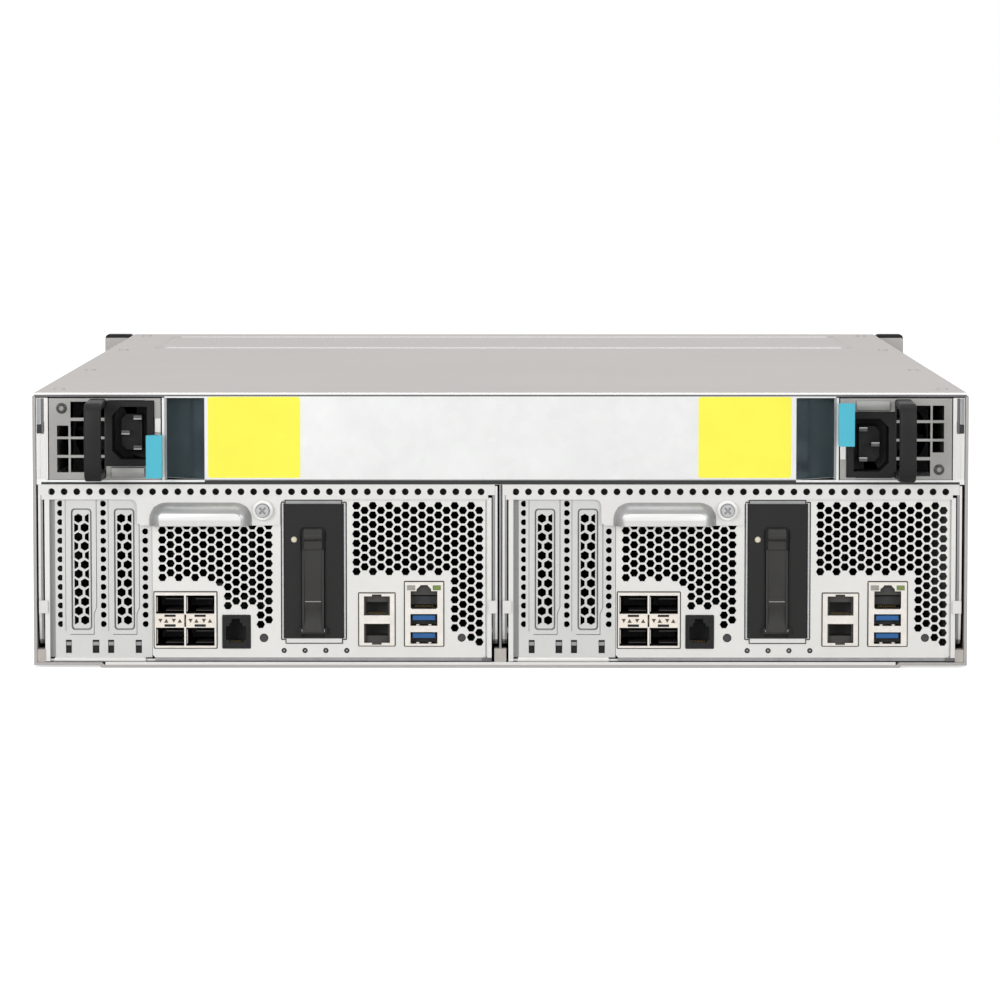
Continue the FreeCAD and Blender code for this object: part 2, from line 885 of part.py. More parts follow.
def build_power_board():
    """The board that the power supplies plug into, with two bars to the midplane."""
    start = power_board_start
    end = start + size("board_thickness")
    reach = inner_half - 1.0
    low, top = size("shelf_low"), size("bay_wall_top")
    board = block("power_pcb", -reach, reach, start, end, low, top)
    pieces = [board]
    width, height = size("power_socket_width"), size("power_socket_height")
    bay = middle(size("psu_left_x"), size("psu_right_x"))
    for name, x in (("left", bay), ("right", -bay)):
        z = size("psu_turn_z") - height / 2
        socket = block(
            "power_socket_" + name, x - width / 2, x + width / 2,
            start - 4.0, start, z, z + height,
        )
        pieces.append(socket)
    bar_low = size("psu_turn_z") - size("busbar_width") / 2
    for name, x in (("left", -size("busbar_x")), ("right", size("busbar_x"))):
        bar = block(
            "busbar_" + name, x - size("busbar_thickness") / 2, x + size("busbar_thickness") / 2,
            end, midplane_start, bar_low, bar_low + size("busbar_width"),
        )
        pieces.append(bar)
    return keep(group("power_board", pieces))


build_midplane()
build_power_board()


# Power supply: drawn for the left bay, turned half round for the right one

psu_left, psu_right = size("psu_left_x"), size("psu_right_x")
psu_low, psu_top = size("psu_low"), size("psu_top")
skin = size("psu_sheet")

# The ventilation cells of the end plate, as left and right edges with the rows they fill.
GRILLE_COLUMNS = (
    (-211.6, -206.0, (0, 1, 2)),
    (-204.9, -199.3, (0, 1, 2, 3)),
)


def build_psu_case():
    """A sheet-metal can: end plate with ventilation cells, fan frame and contact card inside."""
    body = new_body("psu_can")
    length = size("psu_depth")
    pad(body, "XZ", depth(0), depth(length), rectangle(psu_left, psu_right, psu_low, psu_top))
    inside = rectangle(psu_left + skin, psu_right - skin, psu_low + skin, psu_top - skin)
    cut(body, "XZ", depth(skin), depth(length), inside)
    cells = []
    for left, right, rows in GRILLE_COLUMNS:
        for row in rows:
            low = size("grille_first_z") + size("grille_row_pitch") * row
            cells.append(rectangle(left, right, low, low + size("grille_cell_height")))
    gap = size("turn_gap")
    left, right = size("inlet_left") - gap, size("inlet_right") + gap
    cells.append(rectangle(left, right, size("inlet_low") - gap, size("inlet_top") + gap))
    cut(body, "XZ", depth(0), depth(skin), *cells)
    window_low, window_top = size("latch_low") - 0.4, size("latch_top") + 0.6
    cut(
        body, "XZ", depth(0), depth(size("latch_pivot_depth") + 3.0),
        rectangle(size("latch_stem_left") - 1.0, psu_right + 1.0, window_low, window_top),
    )
    pin = new_body("psu_latch_pin")
    pad(
        pin, "XY", psu_low + skin, psu_top - skin,
        (size("latch_pivot_x"), depth(size("latch_pivot_depth")), size("latch_pin_radius")),
    )
    x, z, half = size("fan_x"), size("fan_z"), (psu_top - psu_low) / 2 - skin
    start, end = size("fan_depth"), size("fan_depth") + size("fan_length")
    frame = block("psu_fan_frame", x - half, x + half, start, end, z - half, z + half)
    bore = round_polygon(x, z, size("fan_bore_radius"), 20)
    cut(frame, "XZ", depth(start), depth(end - 2.0), bore)
    openings = [
        rectangle(x - 13.0, x - 2.0, z + 3.0, z + 12.0),
        rectangle(x + 2.0, x + 13.0, z + 3.0, z + 12.0),
        rectangle(x - 13.0, x - 2.0, z - 12.0, z - 3.0),
        rectangle(x + 2.0, x + 13.0, z - 12.0, z - 3.0),
    ]
    cut(frame, "XZ", depth(end - 2.0), depth(end), *openings)
    card = block(
        "psu_card", psu_left + 8.0, psu_right - 8.0, length - 60.0, length + 6.0,
        psu_low + skin + 14.0, psu_low + skin + 15.6,
    )
    carrier = block(
        "psu_card_base", psu_left + 8.0, psu_right - 8.0, length - 60.0, length - 4.0,
        psu_low + skin, psu_low + skin + 14.0,
    )
    return group("psu_left_case", [body, pin, frame, card, carrier])


def build_psu_inlet():
    """The mains inlet: a block with a keyed cavity and three flat blades in it."""
    body = new_body("psu_left_inlet")
    left, right = size("inlet_left"), size("inlet_right")
    low, top = size("inlet_low"), size("inlet_top")
    front, back = -size("inlet_proud"), size("inlet_depth")
    pad(body, "XZ", depth(front), depth(back), rectangle(left, right, low, top))
    corner = size("inlet_corner")
    left, right = size("inlet_cavity_left"), size("inlet_cavity_right")
    low, top = size("inlet_cavity_low"), size("inlet_cavity_top")
    keyed = [
        (left + corner, low), (right, low), (right, top), (left + corner, top),
        (left, top - corner), (left, low + corner),
    ]
    floor = front + size("inlet_cavity_depth")
    cut(body, "XZ", depth(front), depth(floor), keyed)
    blades = [
        rectangle(-180.0, -178.0, 110.6, 114.6),
        rectangle(-174.4, -172.4, 117.6, 121.6),
        rectangle(-174.4, -172.4, 103.6, 107.6),
    ]
    pad(body, "XZ", depth(front + 3.5), depth(floor), *blades)
    return body


def build_psu_handle():
    """A fixed bowed handle, open for the fingers."""
    body = new_body("psu_left_handle")
    low, top = size("handle_low"), size("handle_top")
    reach, bar = size("handle_reach"), size("handle_bar")
    out, slope, shoulder = depth(-reach), 2.0, 8.0
    outer = [
        (depth(0), low), (out + shoulder, low + slope * 0.4),
        (out + 2.0, low + slope), (out, low + shoulder),
        (out, top - shoulder), (out + 2.0, top - slope),
        (out + shoulder, top - slope * 0.4), (depth(0), top),
    ]
    inner = [
        (depth(0), top - bar), (out + shoulder + 1.0, top - slope * 0.4 - bar),
        (out + bar, top - shoulder - bar * 0.7), (out + bar, low + shoulder + bar * 0.7),
        (out + shoulder + 1.0, low + slope * 0.4 + bar), (depth(0), low + bar),
    ]
    left = size("handle_left")
    pad(body, "YZ", left, left + size("handle_width"), outer + inner)
    round_edges(
        body, 1.2,
        lambda p, e: (near(p.x, left) or near(p.x, left + size("handle_width")))
        and p.y < depth(-8.0).value,
        "PartDesign::Chamfer",
    )
    return body


def build_psu_latch():
    """A sprung release latch: leaf, pivot eye, tooth and the finger pad outside."""
    body = new_body("psu_left_latch")
    left, right = size("latch_stem_left"), size("latch_stem_right")
    low, top = size("latch_low"), size("latch_top")
    pivot = size("latch_pivot_depth")
    out = -size("latch_reach")
    pad(body, "XZ", depth(out + 2.0), depth(pivot), rectangle(left, right, low + 0.6, top))
    pad_left, pad_right = size("latch_pad_left"), size("latch_pad_right")
    finger = [
        (pad_left, depth(out)), (pad_right, depth(out)), (pad_right, depth(out + 4.0)),
        (right, depth(out + 7.0)), (left, depth(out + 7.0)), (pad_left, depth(out + 2.4)),
    ]
    pad(body, "XY", low, top, finger)
    eye = (size("latch_pivot_x"), depth(pivot))
    pad(body, "XY", low + 0.6, top, (*eye, size("latch_eye_radius")))
    hole = size("latch_pin_radius") + size("turn_gap")
    cut(body, "XY", low, top, (*eye, hole))
    tooth = [
        (right, depth(14.0)), (right + 0.4, depth(22.0)), (right, depth(22.0)),
    ]
    pad(body, "XY", low + 8.0, top - 6.0, tooth)
    return body


def build_psu_fan():
    """The fan wheel: a hub with five flat blades set at an angle."""
    body = new_body("psu_left_fan")
    x, z = size("fan_x"), size("fan_z")
    start, end = size("fan_depth") + 3.0, size("fan_depth") + size("fan_length") - 2.6
    hub = round_polygon(x, z, size("fan_hub_radius"), 20)
    pad(body, "XZ", depth(start), depth(end), hub)
    pad(body, "XZ", depth(start - 1.0), depth(start), (x, z, size("fan_axle_radius")))
    blade_start, blade_end = start + 3.0, end - 4.0
    inner, tip = size("fan_hub_radius") - 1.0, size("fan_tip_radius") - 0.4
    half = 1.1
    blade = [
        (x - 4.0, depth(blade_start)), (x - 4.0 + 2 * half, depth(blade_start)),
        (x + 4.0, depth(blade_end)), (x + 4.0 - 2 * half, depth(blade_end)),
    ]
    feature = pad(body, "XY", z + inner, z + tip, blade)
    centre = body.newObject("Sketcher::SketchObject", "fan_axis_sketch")
    plane = [f for f in body.Origin.OriginFeatures if f.Role == "XZ_Plane"][0]
    centre.AttachmentSupport = [(plane, "")]
    centre.MapMode = "FlatFace"
    centre.setExpression("AttachmentOffset.Base.x", x.text)
    centre.setExpression("AttachmentOffset.Base.y", z.text)
    doc.recompute()
    pattern = body.newObject("PartDesign::PolarPattern", "fan_blades")
    pattern.Originals = [feature]
    pattern.Axis = (centre, ["N_Axis"])
    pattern.Angle = 360
    pattern.Occurrences = 5
    body.Tip = pattern
    doc.recompute()
    return body


PSU_PIECES = (
    build_psu_case(),
    build_psu_inlet(),
    build_psu_handle(),
    build_psu_latch(),
    build_psu_fan(),
)
for piece in PSU_PIECES:
    keep(piece)
for piece in PSU_PIECES:
    keep(turned_copy(piece.Label.replace("left", "right"), piece))


# Controller: drawn for the left bay, repeated one pitch to the right

panel_out = size("panel_depth")
panel_in = panel_out + size("panel_sheet")
case_left, case_right = size("case_left"), size("case_right")
case_low, case_top = size("case_low"), size("case_top")
case_skin = size("case_sheet")
board_top = size("mainboard_low") + size("mainboard_sheet")


def honeycomb_centres():
    """Centres of the cells that fit into the panel's vented areas, on one common lattice."""
    pitch = SIZES["honeycomb_pitch"]
    reach = SIZES["honeycomb_across"] / math.sqrt(3)
    step = pitch * math.sqrt(3) / 2
    centres = []
    for column in range(-round(SIZES["controller_pitch"] / step), 0):
        x = column * step + 0.8
        for row in range(round(SIZES["case_top"] / pitch) + 1):
            z = pitch * (row + (column % 2) / 2)
            for left, right, low, top in HONEYCOMBS:
                if left + reach < x < right - reach and low + reach < z < top - reach:
                    centres.append((x, z))
                    break
    return centres


def build_case():
    """The controller tray: floor, sides and the perforated rear panel, with the lever's pins."""
    body = new_body("controller_left_case")
    channel = [
        (case_left, case_low), (case_right, case_low), (case_right, case_top),
        (case_right - case_skin, case_top), (case_right - case_skin, case_low + case_skin),
        (case_left + case_skin, case_low + case_skin), (case_left + case_skin, case_top),
        (case_left, case_top),
    ]
    pad(body, "XZ", depth(panel_in), depth(size("case_depth")), channel)
    panel = rectangle(case_left, case_right, case_low, case_top)
    pad(body, "XZ", depth(panel_out), depth(panel_in), panel)
    gap = size("port_gap")
    holes = []
    for name in BLOCKS:
        holes.append(rectangle(
            size(name + "_left") - gap, size(name + "_right") + gap,
            size(name + "_low") - gap, size(name + "_top") + gap,
        ))
    gap = size("slide_gap")
    holes.append(rectangle(
        size("battery_left") - gap, size("battery_right") + gap,
        size("battery_low") - gap, size("battery_top") + gap,
    ))
    for turn in range(2):
        left = size("slot_first_x") + size("slot_pitch") * turn
        right = left + size("slot_width")
        holes.append(rectangle(left, right, size("slot_low"), size("slot_top")))
    holes.append((size("button_x"), size("button_z"), size("button_radius") + 0.3))
    screw_hole = size("lever_screw_shank") + 0.8
    holes.append((size("lever_screw_x"), size("lever_screw_z"), screw_hole))
    cut(body, "XZ", depth(panel_out), depth(panel_in), *holes)
    screw = FreeCAD.Vector(SIZES["lever_screw_x"], SIZES["lever_screw_z"], 0)
    centres = [
        c for c in honeycomb_centres()
        if FreeCAD.Vector(*c, 0).distanceToPoint(screw) > 6.5
    ]
    cells = {"centres": centres, "across": size("honeycomb_across"), "flat_top": True}
    cut(body, "XZ", depth(panel_out), depth(panel_in), cells)
    pin = (depth(size("lever_pin_depth")), size("lever_pin_z"), size("lever_pin_radius"))
    pad(body, "YZ", size("lever_left") - 0.2, case_left + 0.5, pin)
    pad(body, "YZ", case_right - 0.5, size("lever_right") + 0.2, pin)
    return body


def build_slot_covers():
    """Two bent plates that close the expansion slots, each with one row of cells."""
    covers = []
    margin, thickness = size("slot_cover_margin"), size("slot_cover_sheet")
    for turn in range(2):
        body = new_body("slot_cover_" + str(turn + 1))
        left = size("slot_first_x") + size("slot_pitch") * turn
        right = left + size("slot_width")
        low, top = size("slot_low") - margin, size("slot_top") + margin
        profile = [
            (depth(panel_in), low), (depth(panel_in), top),
            (depth(panel_in + size("slot_cover_tab")), top),
            (depth(panel_in + size("slot_cover_tab")), top - thickness),
            (depth(panel_in + thickness), top - thickness), (depth(panel_in + thickness), low),
        ]
        pad(body, "YZ", left - margin, right + margin, profile)
        x = (left + size("slot_width") / 2).value
        first = SIZES["slot_low"] + 4.8
        centres = [(x, first + SIZES["slot_cell_pitch"] * i) for i in range(6)]
        cells = {"centres": centres, "across": size("slot_cell_across"), "flat_top": False}
        cut(body, "XZ", depth(panel_in), depth(panel_in + thickness), cells)
        covers.append(body)
    return group("controller_left_slot_covers", covers)


def build_ejector_lever():
    """A folded lever the width of the controller: vented flange, grip tab and two side arms."""
    body = new_body("controller_left_ejector_lever")
    thin, arm = size("lever_sheet"), size("arm_sheet")
    left, right = size("lever_left"), size("lever_right")
    low, top = size("flange_low"), size("flange_top")
    bend = size("flange_bend_low")
    face = [
        (left, top), (left, bend), (left + arm, bend), (left + arm, low),
        (size("tab_left"), low), (size("tab_left"), size("tab_low")),
        (size("tab_right"), size("tab_low")), (size("tab_right"), low),
        (size("flange_right"), low), (size("flange_right"), bend), (right, bend),
        (right, top),
    ]
    pad(body, "XZ", depth(0), depth(thin), face)
    reach, pin_y = size("arm_depth"), depth(size("lever_pin_depth"))
    pin_z, end_radius = size("lever_pin_z"), size("arm_end_radius")
    side_view = [
        (depth(0), top), (depth(0), pin_z + 20.0), (pin_y - end_radius, pin_z),
        (pin_y + end_radius, pin_z), (depth(reach), pin_z + 24.0), (depth(reach), top),
    ]
    eye = round_polygon(pin_y, pin_z, end_radius, 16)
    for near_x, far_x in ((left, left + arm), (right - arm, right)):
        pad(body, "YZ", near_x, far_x, side_view)
        pad(body, "YZ", near_x, far_x, eye)
    hole = size("lever_pin_radius") + size("turn_gap")
    cut(body, "YZ", left, right, (pin_y, pin_z, hole))
    grip_left, grip_right = size("grip_left"), size("grip_right")
    grip_low, grip_top = size("tab_low"), size("grip_top")
    out = -size("grip_reach")
    corner = size("grip_corner")
    arch = [
        (grip_left, grip_low), (grip_right, grip_low), (grip_right, grip_top - corner),
        (grip_right - corner * 0.3, grip_top - corner * 0.3), (grip_right - corner, grip_top),
        (grip_left + corner, grip_top), (grip_left + corner * 0.3, grip_top - corner * 0.3),
        (grip_left, grip_top - corner),
    ]
    pad(body, "XZ", depth(out), depth(0), arch)
    round_edges(
        body, 1.4,
        lambda p, e: near(p.y, depth(out)) and p.z > (grip_low + 0.5).value,
        "PartDesign::Chamfer",
    )
    hollow = rectangle(
        grip_left + 2.4, grip_right - 2.4, grip_low + 1.6, grip_top - 2.4
    )
    cut(body, "XZ", depth(out + 1.4), depth(thin), hollow)
    count = int((size("flange_right") - size("lever_vent_first")).value / SIZES["lever_vent_pitch"])
    centres = [
        (SIZES["lever_vent_first"] + SIZES["lever_vent_pitch"] * i, SIZES["lever_vent_z"])
        for i in range(count)
    ]
    cells = {"centres": centres, "across": size("lever_vent_across"), "flat_top": False}
    cut(body, "XZ", depth(0), depth(thin), cells)
    screw_hole = size("lever_screw_shank") + 0.4
    cut(
        body, "XZ", depth(0), depth(thin),
        (size("lever_screw_x"), size("lever_screw_z"), screw_hole),
    )
    return body


def build_lever_screw():
    """A captive thumb screw with a slotted head."""
    body = new_body("controller_left_lever_screw")
    x, z = size("lever_screw_x"), size("lever_screw_z")
    radius, head = size("lever_screw_radius"), size("lever_screw_head")
    face = -size("turn_gap")
    pad(body, "XZ", depth(face - head), depth(face), round_polygon(x, z, radius, 16))
    pad(
        body, "XZ", depth(face), depth(size("lever_screw_reach")),
        (x, z, size("lever_screw_shank")),
    )
    slot = rectangle(x - radius, x + radius, z - 0.5, z + 0.5)
    cut(body, "XZ", depth(face - head), depth(face - head * 0.7), slot)
    return body


def build_mainboard():
    """The main board on its standoffs, with cooler, memory, battery guide and socket."""
    left, right = size("mainboard_left"), size("mainboard_right")
    low, top = size("mainboard_low"), board_top
    length = size("case_depth") - size("mainboard_setback")
    start = panel_in + 1.0
    pieces = [block("board_pcb", left, right, start, length, low, top)]
    width = size("standoff_width")
    rows = (as_size(30.0), length / 2, length - 18.0)
    spots = [(x, y) for x in (-208.0, -112.0, -18.0) for y in rows]
    for index, (x, y) in enumerate(spots, start=1):
        pieces.append(block(
            "board_standoff_" + str(index), x - width / 2, x + width / 2,
            y - width / 2, y + width / 2, case_low + case_skin, low,
        ))
    x, length_of = size("cooler_x"), size("cooler_size")
    near_end = size("case_depth") - size("cooler_setback")
    cooler = new_body("board_cooler")
    base_top = top + size("cooler_base")
    half = length_of / 2
    fins = int(SIZES["cooler_fins"])
    spacing = (length_of - size("cooler_fin_sheet")) / (fins - 1)
    outline = [(x - half, top), (x + half, top)]
    for index in reversed(range(fins)):
        fin_left = x - half + spacing * index
        fin_right = fin_left + size("cooler_fin_sheet")
        outline += [(fin_right, top + size("cooler_height")), (fin_left, top + size("cooler_height"))]
        if index:
            previous_right = x - half + spacing * (index - 1) + size("cooler_fin_sheet")
            outline += [(fin_left, base_top), (previous_right, base_top)]
    pad(cooler, "XZ", depth(near_end), depth(near_end + length_of), outline)
    pieces.append(cooler)
    for index in range(4):
        module_x = size("memory_first_x") + size("memory_pitch") * index
        pieces.append(block(
            "memory_" + str(index + 1), module_x, module_x + size("memory_sheet"),
            near_end - 10.0, near_end - 10.0 + size("memory_length"),
            top, top + size("memory_height"),
        ))
    rail = size("battery_rail_sheet")
    gap = size("slide_gap")
    rail_left, rail_right = size("battery_left") - gap, size("battery_right") + gap
    seat = size("battery_low") - gap
    guide = new_body("battery_guide")
    section = [
        (rail_left - rail, top), (rail_left, top), (rail_left, seat - rail),
        (rail_right, seat - rail), (rail_right, top), (rail_right + rail, top),
        (rail_right + rail, 60.0), (rail_right, 60.0), (rail_right, seat),
        (rail_left, seat), (rail_left, 60.0), (rail_left - rail, 60.0),
    ]
    pad(guide, "XZ", depth(panel_in + 1.0), depth(size("battery_depth")), section)
    pieces.append(guide)
    centre = middle(case_left, case_right)
    pieces.append(block(
        "board_socket", centre - size("board_socket_width") / 2,
        centre + size("board_socket_width") / 2, length - 20.0, length + 8.0,
        top, top + size("board_socket_height"),
    ))
    pieces.append(block(
        "button_switch", size("button_x") - 3.0, size("button_x") + 3.0,
        panel_out + size("button_length") + size("button_travel"),
        panel_out + size("button_length") + 8.0, top, top + 8.0,
    ))
    return group("controller_left_mainboard", pieces)


def build_fan_pack():
    """Three fans in one frame across the controller, near the midplane."""
    start = size("case_depth") - size("fan_pack_setback")
    end = start + size("fan_pack_length")
    left, right = size("mainboard_left") + 1.0, size("mainboard_right") - 1.0
    low = board_top
    top = low + size("fan_pack_height")
    frame = block("fan_pack_frame", left, right, start, end, low, top)
    centre = middle(left, right)
    places = [centre + size("fan_pack_pitch") * turn for turn in (-1, 0, 1)]
    z = middle(low, top)
    bores = [round_polygon(x, z, size("fan_pack_bore"), 24) for x in places]
    cut(frame, "XZ", depth(start), depth(end), *bores)
    strut = 2.0
    struts = [rectangle(left, right, z - strut, z + strut)]
    pad(frame, "XZ", depth(end - 3.0), depth(end), *struts)
    pieces = [frame]
    for index, x in enumerate(places, start=1):
        rotor = new_body("fan_pack_wheel_" + str(index))
        hub, tip = size("fan_pack_hub"), size("fan_pack_bore") - 1.0
        boss = round_polygon(x, z, hub, 12)
        pad(rotor, "XZ", depth(start + 2.0), depth(end - 3.0), boss)
        vanes = [
            rectangle(x - 1.0, x + 1.0, z - tip + 1.0, z + tip - 1.0),
        ]
        pad(rotor, "XZ", depth(start + 6.0), depth(end - 8.0), *vanes)
        crossing = rectangle(x - tip + 1.0, x + tip - 1.0, z - 1.0, z + 1.0)
        pad(rotor, "XZ", depth(start + 6.0), depth(end - 8.0), crossing)
        pieces.append(rotor)
    return group("controller_left_fan_pack", pieces)


def build_transceiver_cage():
    """A folded cage with four module bays, two over two."""
    name = "transceiver_cage"
    body = new_body("controller_left_transceiver_cage")
    left, right = size(name + "_left"), size(name + "_right")
    low, top = size(name + "_low"), size(name + "_top")
    front = panel_out - size("port_proud")
    pad(body, "XZ", depth(front), depth(size(name + "_depth")), rectangle(left, right, low, top))
    thin = size("cage_port_wall")
    centre = middle(left, right)
    bays = []
    for bay_low in (size("cage_port_low_row"), size("cage_port_high_row")):
        bay_top = bay_low + size("cage_port_height")
        bays.append(rectangle(left + thin, centre - thin / 2, bay_low, bay_top))
        bays.append(rectangle(centre + thin / 2, right - thin, bay_low, bay_top))
    cut(body, "XZ", depth(front), depth(front) + size("cage_port_depth"), *bays)
    return body


def build_jack_blocks():
    """Network, service and USB sockets: blocks with open cavities, and the USB tongues."""
    front = panel_out - size("port_proud")
    pieces = []
    for name in ("service_jack", "network_pair", "network_and_usb"):
        body = new_body(name)
        outline = rectangle(
            size(name + "_left"), size(name + "_right"), size(name + "_low"), size(name + "_top")
        )
        pad(body, "XZ", depth(front), depth(size(name + "_depth")), outline)
        for cavity, (owner, *_) in CAVITIES.items():
            if owner == name:
                opening = rectangle(
                    size(cavity + "_left"), size(cavity + "_right"),
                    size(cavity + "_low"), size(cavity + "_top"),
                )
                cut(body, "XZ", depth(front), depth(front) + size(cavity + "_depth"), opening)
        pieces.append(body)
    for cavity in ("usb_low", "usb_high"):
        tongue_top = size(cavity + "_top") - 0.9
        pieces.append(block(
            cavity + "_tongue", size(cavity + "_left") + 1.2, size(cavity + "_right") - 1.2,
            front + 1.0, front + size(cavity + "_depth"), tongue_top - 1.9, tongue_top,
        ))
    return group("controller_left_jack_blocks", pieces)


def build_battery_module():
    """The backup battery: a tall pack with a recessed front, side lips and the lever's pin."""
    body = new_body("controller_left_battery_module")
    left, right = size("battery_left"), size("battery_right")
    low, top = size("battery_low"), size("battery_top")
    front = panel_out
    recess = size("battery_recess")
    lip = size("battery_lip")
    pad(
        body, "XZ", depth(front - 0.3), depth(size("battery_depth")),
        rectangle(left, right, low, top),
    )
    dish = rectangle(left + lip, right - lip, low + lip, top - lip)
    cut(body, "XZ", depth(front - 0.3), depth(front - 0.3) + recess, dish)
    pivot_y = depth(front) - size("battery_pivot_out")
    pivot_z = size("battery_pivot_z")
    ear = rectangle(
        pivot_y - 1.6, depth(front - 0.3) + recess + 0.4, pivot_z - 1.6, pivot_z + 1.6,
    )
    lever_left, lever_right = size("battery_lever_left"), size("battery_lever_right")
    gap = size("turn_gap")
    for low_x, high_x in (
        (lever_left - gap - 1.2, lever_left - gap),
        (lever_right + gap, lever_right + gap + 1.2),
    ):
        pad(body, "YZ", low_x, high_x, ear)
    pin = (pivot_y, pivot_z, size("battery_pin_radius"))
    pad(body, "YZ", lever_left - gap - 0.4, lever_right + gap + 0.4, pin)
    return body


def build_battery_lever():
    """The battery's pull lever: barrel on the pin, flat stem and a hooked finger end."""
    body = new_body("controller_left_battery_lever")
    left, right = size("battery_lever_left"), size("battery_lever_right")
    pivot_y = depth(panel_out) - size("battery_pivot_out")
    pivot_z = size("battery_pivot_z")
    half = size("battery_lever_sheet") / 2
    top = size("battery_lever_top")
    hook = size("battery_hook_reach")
    pad(body, "YZ", left, right, (pivot_y, pivot_z, size("battery_barrel_radius")))
    stem = [
        (pivot_y - half, pivot_z), (pivot_y + half, pivot_z), (pivot_y + half, top - 9.0),
        (pivot_y + half - 0.5, top), (pivot_y - hook, top), (pivot_y - hook, top - 1.3),
        (pivot_y - half - 0.6, top - 2.0), (pivot_y - half, top - 9.0),
    ]
    pad(body, "YZ", left, right, stem)
    hole = size("battery_pin_radius") + 0.25
    cut(body, "YZ", left, right, (pivot_y, pivot_z, hole))
    return body


def build_locate_button():
    body = new_body("controller_left_locate_button")
    start = panel_out - 0.4
    pad(
        body, "XZ", depth(start), depth(start + size("button_length")),
        (size("button_x"), size("button_z"), size("button_radius")),
    )
    return body


CONTROLLER_PIECES = (
    build_case(),
    build_slot_covers(),
    build_ejector_lever(),
    build_lever_screw(),
    build_mainboard(),
    build_fan_pack(),
    build_transceiver_cage(),
    build_jack_blocks(),
    build_battery_module(),
    build_battery_lever(),
    build_locate_button(),
)
for piece in CONTROLLER_PIECES:
    keep(piece)
for piece in CONTROLLER_PIECES:
    label = piece.Label.replace("left", "right")
    keep(moved_copy(label, piece, x=size("controller_pitch")))


# Check every object, then write the sub-parts

doc.recompute()
for item in doc.Objects:
    if "Invalid" in item.State or "Error" in item.State:
        raise RuntimeError("failed object: " + item.Label)

os.makedirs("parts", exist_ok=True)
for item in exports:
    shape = item.Shape
    if shape.isNull() or not shape.isValid() or not shape.Solids:
        raise RuntimeError("bad shape: " + item.Label)
    solids = shape.Solids
    result = solids[0] if len(solids) == 1 else Part.makeCompound(solids)
    result.exportStep(os.path.join("parts", item.Label + ".step"))
    print(item.Label, len(solids), [round(v, 1) for v in (
        shape.BoundBox.XMin, shape.BoundBox.XMax, shape.BoundBox.YMin,
        shape.BoundBox.YMax, shape.BoundBox.ZMin, shape.BoundBox.ZMax)])
print(len(exports), "sub-parts written")
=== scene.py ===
# The look of the storage server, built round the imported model.
#
# Lengths are in mm and become metres in Shape.mesh_data. A depth is the distance in
# front of the rear face, which looks along -Y. Left and right are as the rear shows them.

import math

import bmesh
import bpy
from mathutils import Matrix, Vector


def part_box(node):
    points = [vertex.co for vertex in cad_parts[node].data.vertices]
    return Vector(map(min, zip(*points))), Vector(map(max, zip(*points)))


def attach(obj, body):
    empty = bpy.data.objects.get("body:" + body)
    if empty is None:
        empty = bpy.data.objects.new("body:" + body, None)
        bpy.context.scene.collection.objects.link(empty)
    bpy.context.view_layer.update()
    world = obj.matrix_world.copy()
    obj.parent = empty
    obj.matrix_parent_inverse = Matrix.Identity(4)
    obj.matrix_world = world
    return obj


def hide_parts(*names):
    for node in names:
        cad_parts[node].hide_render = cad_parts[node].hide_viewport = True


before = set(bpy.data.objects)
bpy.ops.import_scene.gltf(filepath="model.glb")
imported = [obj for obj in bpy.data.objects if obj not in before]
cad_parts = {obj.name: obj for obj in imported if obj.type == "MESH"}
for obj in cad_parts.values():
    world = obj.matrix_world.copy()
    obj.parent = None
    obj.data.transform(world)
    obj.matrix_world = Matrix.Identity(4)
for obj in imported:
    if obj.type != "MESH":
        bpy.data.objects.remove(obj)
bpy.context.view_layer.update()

MM = 0.001
REAR_Y = -300.0
CONTROLLER_PITCH = 221.6
PSU_TURN_Z = 109.8
SIDES = ("left", "right")


# Materials.


def shade(red, green, blue):
    """A linear colour from 0 to 255 screen values."""
    def linear(value):
        value /= 255
        return value / 12.92 if value <= 0.04045 else ((value + 0.055) / 1.055) ** 2.4
    return linear(red), linear(green), linear(blue)


def connect(socket, value):
    """Links an input to another node's output, or sets its value."""
    if isinstance(value, bpy.types.NodeSocket):
        socket.id_data.links.new(value, socket)
    else:
        socket.default_value = value


def fill(node, *values, **named):
    """Fills a node's inputs, in their order or by name with _ for a space."""
    for socket, value in zip(node.inputs, values):
        connect(socket, value)
    for name, value in named.items():
        connect(node.inputs[name.replace("_", " ")], value)
    return node


COAT_ROUGHNESS, FLAKE_DARK, RELIEF = 0.12, 0.6, 0.1


